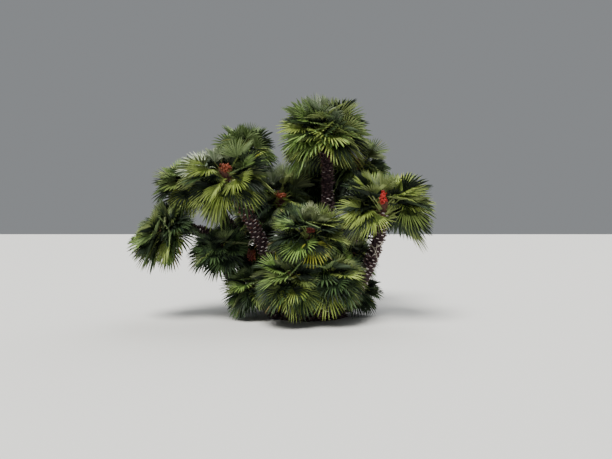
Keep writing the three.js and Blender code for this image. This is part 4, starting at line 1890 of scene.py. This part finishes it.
@dataclass(frozen=True)
class FruitBunch:
    """A bunch of ripe fruit on short branches of a stout stalk that grows out of a crown.

    Sizes are in metres, and pairs are the ranges of chance or the two ends of a run. The fruit's length and
    tip, the swell of a tapered bunch, the sag and the stalk's end are shares.
    """

    grain: float = 0.0135
    fruit_length: float = 1.18
    fruit_tip: float = 0.15
    sizes: tuple[float, float] = (0.8, 1.1)
    branches: int = 21
    per_branch: int = 7
    full_turn: float = 6.28
    spread: tuple[float, float] = (0.86, 1.08)
    fruit_from: tuple[float, float] = (0.4, 1.0)
    swell: float = 0.3
    scatter: float = 0.012
    stalk: float = 0.009
    stalk_end: float = 0.5
    stalk_points: int = 7
    sag: float = 0.18
    branch: float = 0.0035
    branch_taper: Triple = (1.0, 0.8, 0.6)
    branch_from: float = 0.6
    branch_rise: float = 0.006

    RED, ORANGE, OLD, STALK, DRY_STALK = range(5)
    NUMBERS = {Ripeness.RED: RED, Ripeness.ORANGE: ORANGE, Ripeness.OLD: OLD}

    def model_fruit(self) -> Patch:
        """Models one fruit: a ball drawn out to a blunt tip.

        Returns:
            The fruit, of unit radius.
        """
        deselect_all()
        bpy.ops.mesh.primitive_uv_sphere_add(segments=8, ring_count=5, radius=1)
        piece = bpy.context.object
        bpy.ops.object.mode_set(mode="EDIT")
        bpy.ops.transform.resize(value=(1, 1, self.fruit_length), center_override=(0, 0, 0))
        bpy.ops.mesh.select_mode(type="VERT")
        bpy.ops.mesh.select_all(action="DESELECT")
        bpy.ops.object.mode_set(mode="OBJECT")
        for vertex in piece.data.vertices:
            vertex.select = vertex.co.z > 1
        bpy.ops.object.mode_set(mode="EDIT")
        bpy.ops.transform.translate(value=(0, 0, self.fruit_tip))
        bpy.ops.object.mode_set(mode="OBJECT")
        return Patch.of_object(piece)

    def patch(self, fruit: Patch, root: Array, middle: Array, bunch: Bunch,
              random: np.random.Generator) -> Patch:
        """One bunch, in metres.

        Args:
            fruit: The modelled fruit.
            root: Where its stalk leaves the crown.
            middle: The bunch's middle.
            bunch: Its half sizes, state and taper.
            random: The source of small differences.

        Returns:
            Its fruit and stalks in one patch.
        """
        turn = np.arange(self.branches) * GOLDEN_ANGLE + random.uniform(0, self.full_turn)
        height = 1 - 2 * (np.arange(self.branches) + 0.5) / self.branches
        narrowed = 1 - bunch.taper * (height + 1) / 2
        flat = np.sqrt(1 - height**2) * narrowed * (1 + bunch.taper * self.swell)
        ways = np.stack([np.cos(turn) * flat, np.sin(turn) * flat, height], 1)
        ends = ways * random.uniform(*self.spread, (self.branches, 1)) * np.array(bunch.size) * MM
        shares = np.tile(np.linspace(*self.fruit_from, self.per_branch), self.branches)[:, None]
        places = middle + np.repeat(ends, self.per_branch, axis=0) * shares
        count = len(places)
        places = places + random.normal(0, self.scatter, (count, 3))
        first, helper = (unit(random.normal(0, 1, (count, 3))) for _ in range(2))
        second = unit(np.cross(first, helper))
        third = np.cross(first, second)
        sizes = self.grain * random.uniform(*self.sizes, count)[:, None]
        berries = fruit.copies(np.stack([first * sizes, second * sizes, third * sizes], 1), places)
        berries.slots = np.full(len(berries.faces), self.NUMBERS[bunch.ripeness])
        sag = UP * np.linalg.norm(middle - root) * self.sag
        line = np.linspace(0, 1, self.stalk_points)[:, None]
        main = root + (middle - root) * line + sag * 4 * line * (1 - line)
        radii = np.linspace(self.stalk, self.stalk * self.stalk_end, self.stalk_points)
        patches = [berries, tube(main, radii, self.STALK)]
        for place in middle + ends:
            start = main[-2] + (middle - main[-2]) * random.uniform(0, self.branch_from)
            half = (start + place) / 2 + UP * self.branch_rise
            radii = np.array(self.branch_taper) * self.branch
            patches.append(tube(np.array([start, half, place]), radii, self.STALK))
        return Patch.joined(patches)


@dataclass(frozen=True)
class DryStalk:
    """A dead flower stalk or curled strip, by the points it passes and its radius, in millimetres."""

    points: tuple[Triple, ...]
    radius: float
    taper: float = 0.45

    STEPS = 4
    ROUNDS = 3

    def patch(self, slot: int) -> Patch:
        """The stalk, smoothed between its points.

        Args:
            slot: Its finish number.

        Returns:
            Its triangles.
        """
        points = np.array(self.points, float)
        shares = np.linspace(0, len(points) - 1, self.STEPS * (len(points) - 1) + 1)
        path = np.stack([np.interp(shares, np.arange(len(points)), column) for column in points.T], 1)
        for _ in range(self.ROUNDS):
            path[1:-1] = (path[:-2] + 2 * path[1:-1] + path[2:]) / 4
        return tube(path * MM, np.linspace(self.radius, self.radius * self.taper, len(path)) * MM, slot)


class Palm:
    """The whole clump, built crown by crown. Places and sizes are in millimetres."""

    FIRST_SEED = 11
    FRUIT_ROOT = 40
    HANGING_ROOT = (-790, -500, 1330)
    HANGING_MIDDLE = (-945, -560, 1100)
    HANGING_BUNCH = Bunch((0, 0, 0), (75, 60, 100), Ripeness.OLD, -0.3)
    DRY_STALKS = {
        "right": (
            DryStalk(((1090, -560, 1180), (1130, -640, 1230), (1190, -690, 1260), (1240, -660, 1330)), 11),
            DryStalk(((1030, -520, 1270), (1080, -640, 1250), (1130, -690, 1120), (1150, -680, 1000)), 11),
            DryStalk(((1050, -520, 1060), (1090, -620, 1090), (1130, -670, 1180), (1140, -680, 1300)), 9),
        ),
        "left": (
            DryStalk(((-860, -520, 1360), (-900, -620, 1370), (-980, -660, 1330), (-1000, -650, 1230)), 11),
        ),
    }

    def __init__(self) -> None:
        """Makes the finishes and the shapes that repeat."""
        effects = Effects()
        self.rule = FrondRule()
        self.layouts = [Layout.of(crown, index) for index, crown in enumerate(CROWNS)]
        self.leaves = LeafPalette(effects)
        self.bark, self.petioles, self.fruit = (
            [finish.make(effects) for finish in finishes]
            for finishes in (BARK_FINISHES, PETIOLE_FINISHES, FRUIT_FINISHES)
        )
        self.stem = Stem(LeafBase().model(), strand_template())
        self.petiole = Petiole()
        self.blade = FanBlade(self.rule)
        inner_blade = FanBlade(self.rule, 11, free_steps=(0.0, 0.55), widths=(1.0, 0.9), is_forked=False)
        between_blade = FanBlade(self.rule, 17, free_steps=(0.0, 0.55), widths=(1.0, 0.85), is_forked=False)
        self.layers = ((OWN, self.blade), (BETWEEN, between_blade), (INNER_SHADE, inner_blade))
        self.bunch = FruitBunch()
        self.berry = self.bunch.model_fruit()

    def build(self) -> None:
        """Builds every crown."""
        for layout in self.layouts:
            random = np.random.default_rng(layout.index + self.FIRST_SEED)
            self.build_stem(layout, random)
            self.build_fronds(layout, random)
            self.build_fruit(layout, random)

    def build_stem(self, layout: Layout, random: np.random.Generator) -> None:
        """Builds a crown's stem, which replaces its solid.

        Args:
            layout: The crown's layout.
            random: The source of small differences.
        """
        patch = self.stem.patch(layout, random)
        if layout.index == 0:
            patch = Patch.joined([patch, Rootstock(self.stem).patch(random)])
        name = layout.crown.name
        piece = piece_from(f"{name}_bark", patch, self.bark)
        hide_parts(f"{name}_stem")

    def build_fronds(self, layout: Layout, random: np.random.Generator) -> None:
        """Builds a crown's blades, tier by tier, and its petioles.

        Args:
            layout: The crown's layout.
            random: The source of small differences.
        """
        name = layout.crown.name
        blades: dict[Tier, list[Patch]] = {Tier.UPPER: [], Tier.SKIRT: []}
        stalks = []
        for layer, blade in self.layers:
            for plan in self.rule.plans(layout, self.layouts, layer):
                state = state_of(plan, layout.crown, layer, random)
                blades[plan.tier].append(blade.patch(plan, state, self.leaves, random))
                stalks.append(self.petiole.patch(plan, layout, layer is OWN))
        if layout.crown.has_spear:
            plan = self.rule.spear(layout)
            blades[plan.tier].append(self.blade.patch(plan, LeafState.PALE, self.leaves, random))
            stalks.append(self.petiole.patch(plan, layout))
        for tier, patches in blades.items():
            piece = piece_from(f"{name}_{tier.value}_fans", Patch.joined(patches), self.leaves.finishes)
            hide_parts(f"{name}_{tier.value}_fronds")
        piece = piece_from(f"{name}_petioles", Patch.joined(stalks), self.petioles)

    def build_fruit(self, layout: Layout, random: np.random.Generator) -> None:
        """Builds a crown's bunches of fruit and its dead stalks, where it has them.

        Args:
            layout: The crown's layout.
            random: The source of small differences.
        """
        crown = layout.crown
        patches = []
        if crown.fruit:
            root = (layout.heart + layout.axis * self.FRUIT_ROOT) * MM
            middle = (layout.heart + np.array(crown.fruit.at)) * MM
            patches.append(self.bunch.patch(self.berry, root, middle, crown.fruit, random))
        if crown.name == "left":
            root, middle = (np.array(place) * MM for place in (self.HANGING_ROOT, self.HANGING_MIDDLE))
            patches.append(self.bunch.patch(self.berry, root, middle, self.HANGING_BUNCH, random))
        for stalk in self.DRY_STALKS.get(crown.name, ()):
            patches.append(stalk.patch(self.bunch.DRY_STALK))
        if patches:
            piece = piece_from(f"{crown.name}_fruit", Patch.joined(patches), self.fruit, smooth=True)


@dataclass(frozen=True)
class Studio:
    """The plain floor, the soft lights and the camera at the photograph's angle."""

    floor_size: float = 240
    eye: Triple = (-0.036, -9.46, 1.55)
    tilt: float = -0.16
    lens: float = 31.2
    sky: float = 0.27
    sky_colour: tuple[float, ...] = (0.92, 0.96, 1.0, 1.0)

    def build(self) -> None:
        """Builds the studio."""
        deselect_all()
        bpy.ops.mesh.primitive_plane_add(size=self.floor_size)
        floor = bpy.context.object
        floor.name = "studio_floor"
        floor.data.materials.append(FloorFinish().make())
        floor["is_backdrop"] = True
        world = bpy.data.worlds.new("studio")
        bpy.context.scene.world = world
        world.use_nodes = True
        background = world.node_tree.nodes["Background"]
        set_up(background, Color=self.sky_colour, Strength=self.sky)
        self._sun("key", (-2.5, -5.5, 9.5), 30, 6.0, (1.0, 0.98, 0.94))
        self._sun("back", (2.5, 6.0, 9.0), 50, 1.9, (0.97, 0.98, 1.0))
        self._camera()

    @staticmethod
    def _sun(name: str, at: Triple, spread: float, strength: float, colour: Triple) -> None:
        """Adds a soft distant light.

        Args:
            name: Its name.
            at: A point in the direction that it shines from.
            spread: How far it spreads, in degrees.
            strength: How strong it is.
            colour: Its colour.
        """
        light = bpy.data.lights.new(name, "SUN")
        light.angle = math.radians(spread)
        light.energy = strength
        light.color = colour
        piece = bpy.data.objects.new(name, light)
        piece.location = at
        piece.rotation_euler = (-Vector(at)).to_track_quat("-Z", "Y").to_euler()
        bpy.context.scene.collection.objects.link(piece)

    def _camera(self) -> None:
        """Adds the camera."""
        camera = bpy.data.cameras.new("camera")
        camera.lens = self.lens
        camera.sensor_width = 36
        piece = bpy.data.objects.new("camera", camera)
        piece.location = self.eye
        piece.rotation_euler = (math.radians(90 + self.tilt), 0, 0)
        bpy.context.scene.collection.objects.link(piece)
        bpy.context.scene.camera = piece


def write_sizes() -> None:
    """Logs the solids' box and the dressed part's box."""
    boxes = {"cad": cad_bounds, "visual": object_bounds()}
    plain = {name: [[float(value) for value in corner] for corner in box] for name, box in boxes.items()}
    for name, box in plain.items():
        log.info("%s box: %s", name, box)


def main() -> None:
    """Builds the palm and its studio."""
    logging.basicConfig(level=logging.INFO, format="%(message)s")
    Palm().build()
    Studio().build()
    write_sizes()


if __name__ == "__main__":
    main()
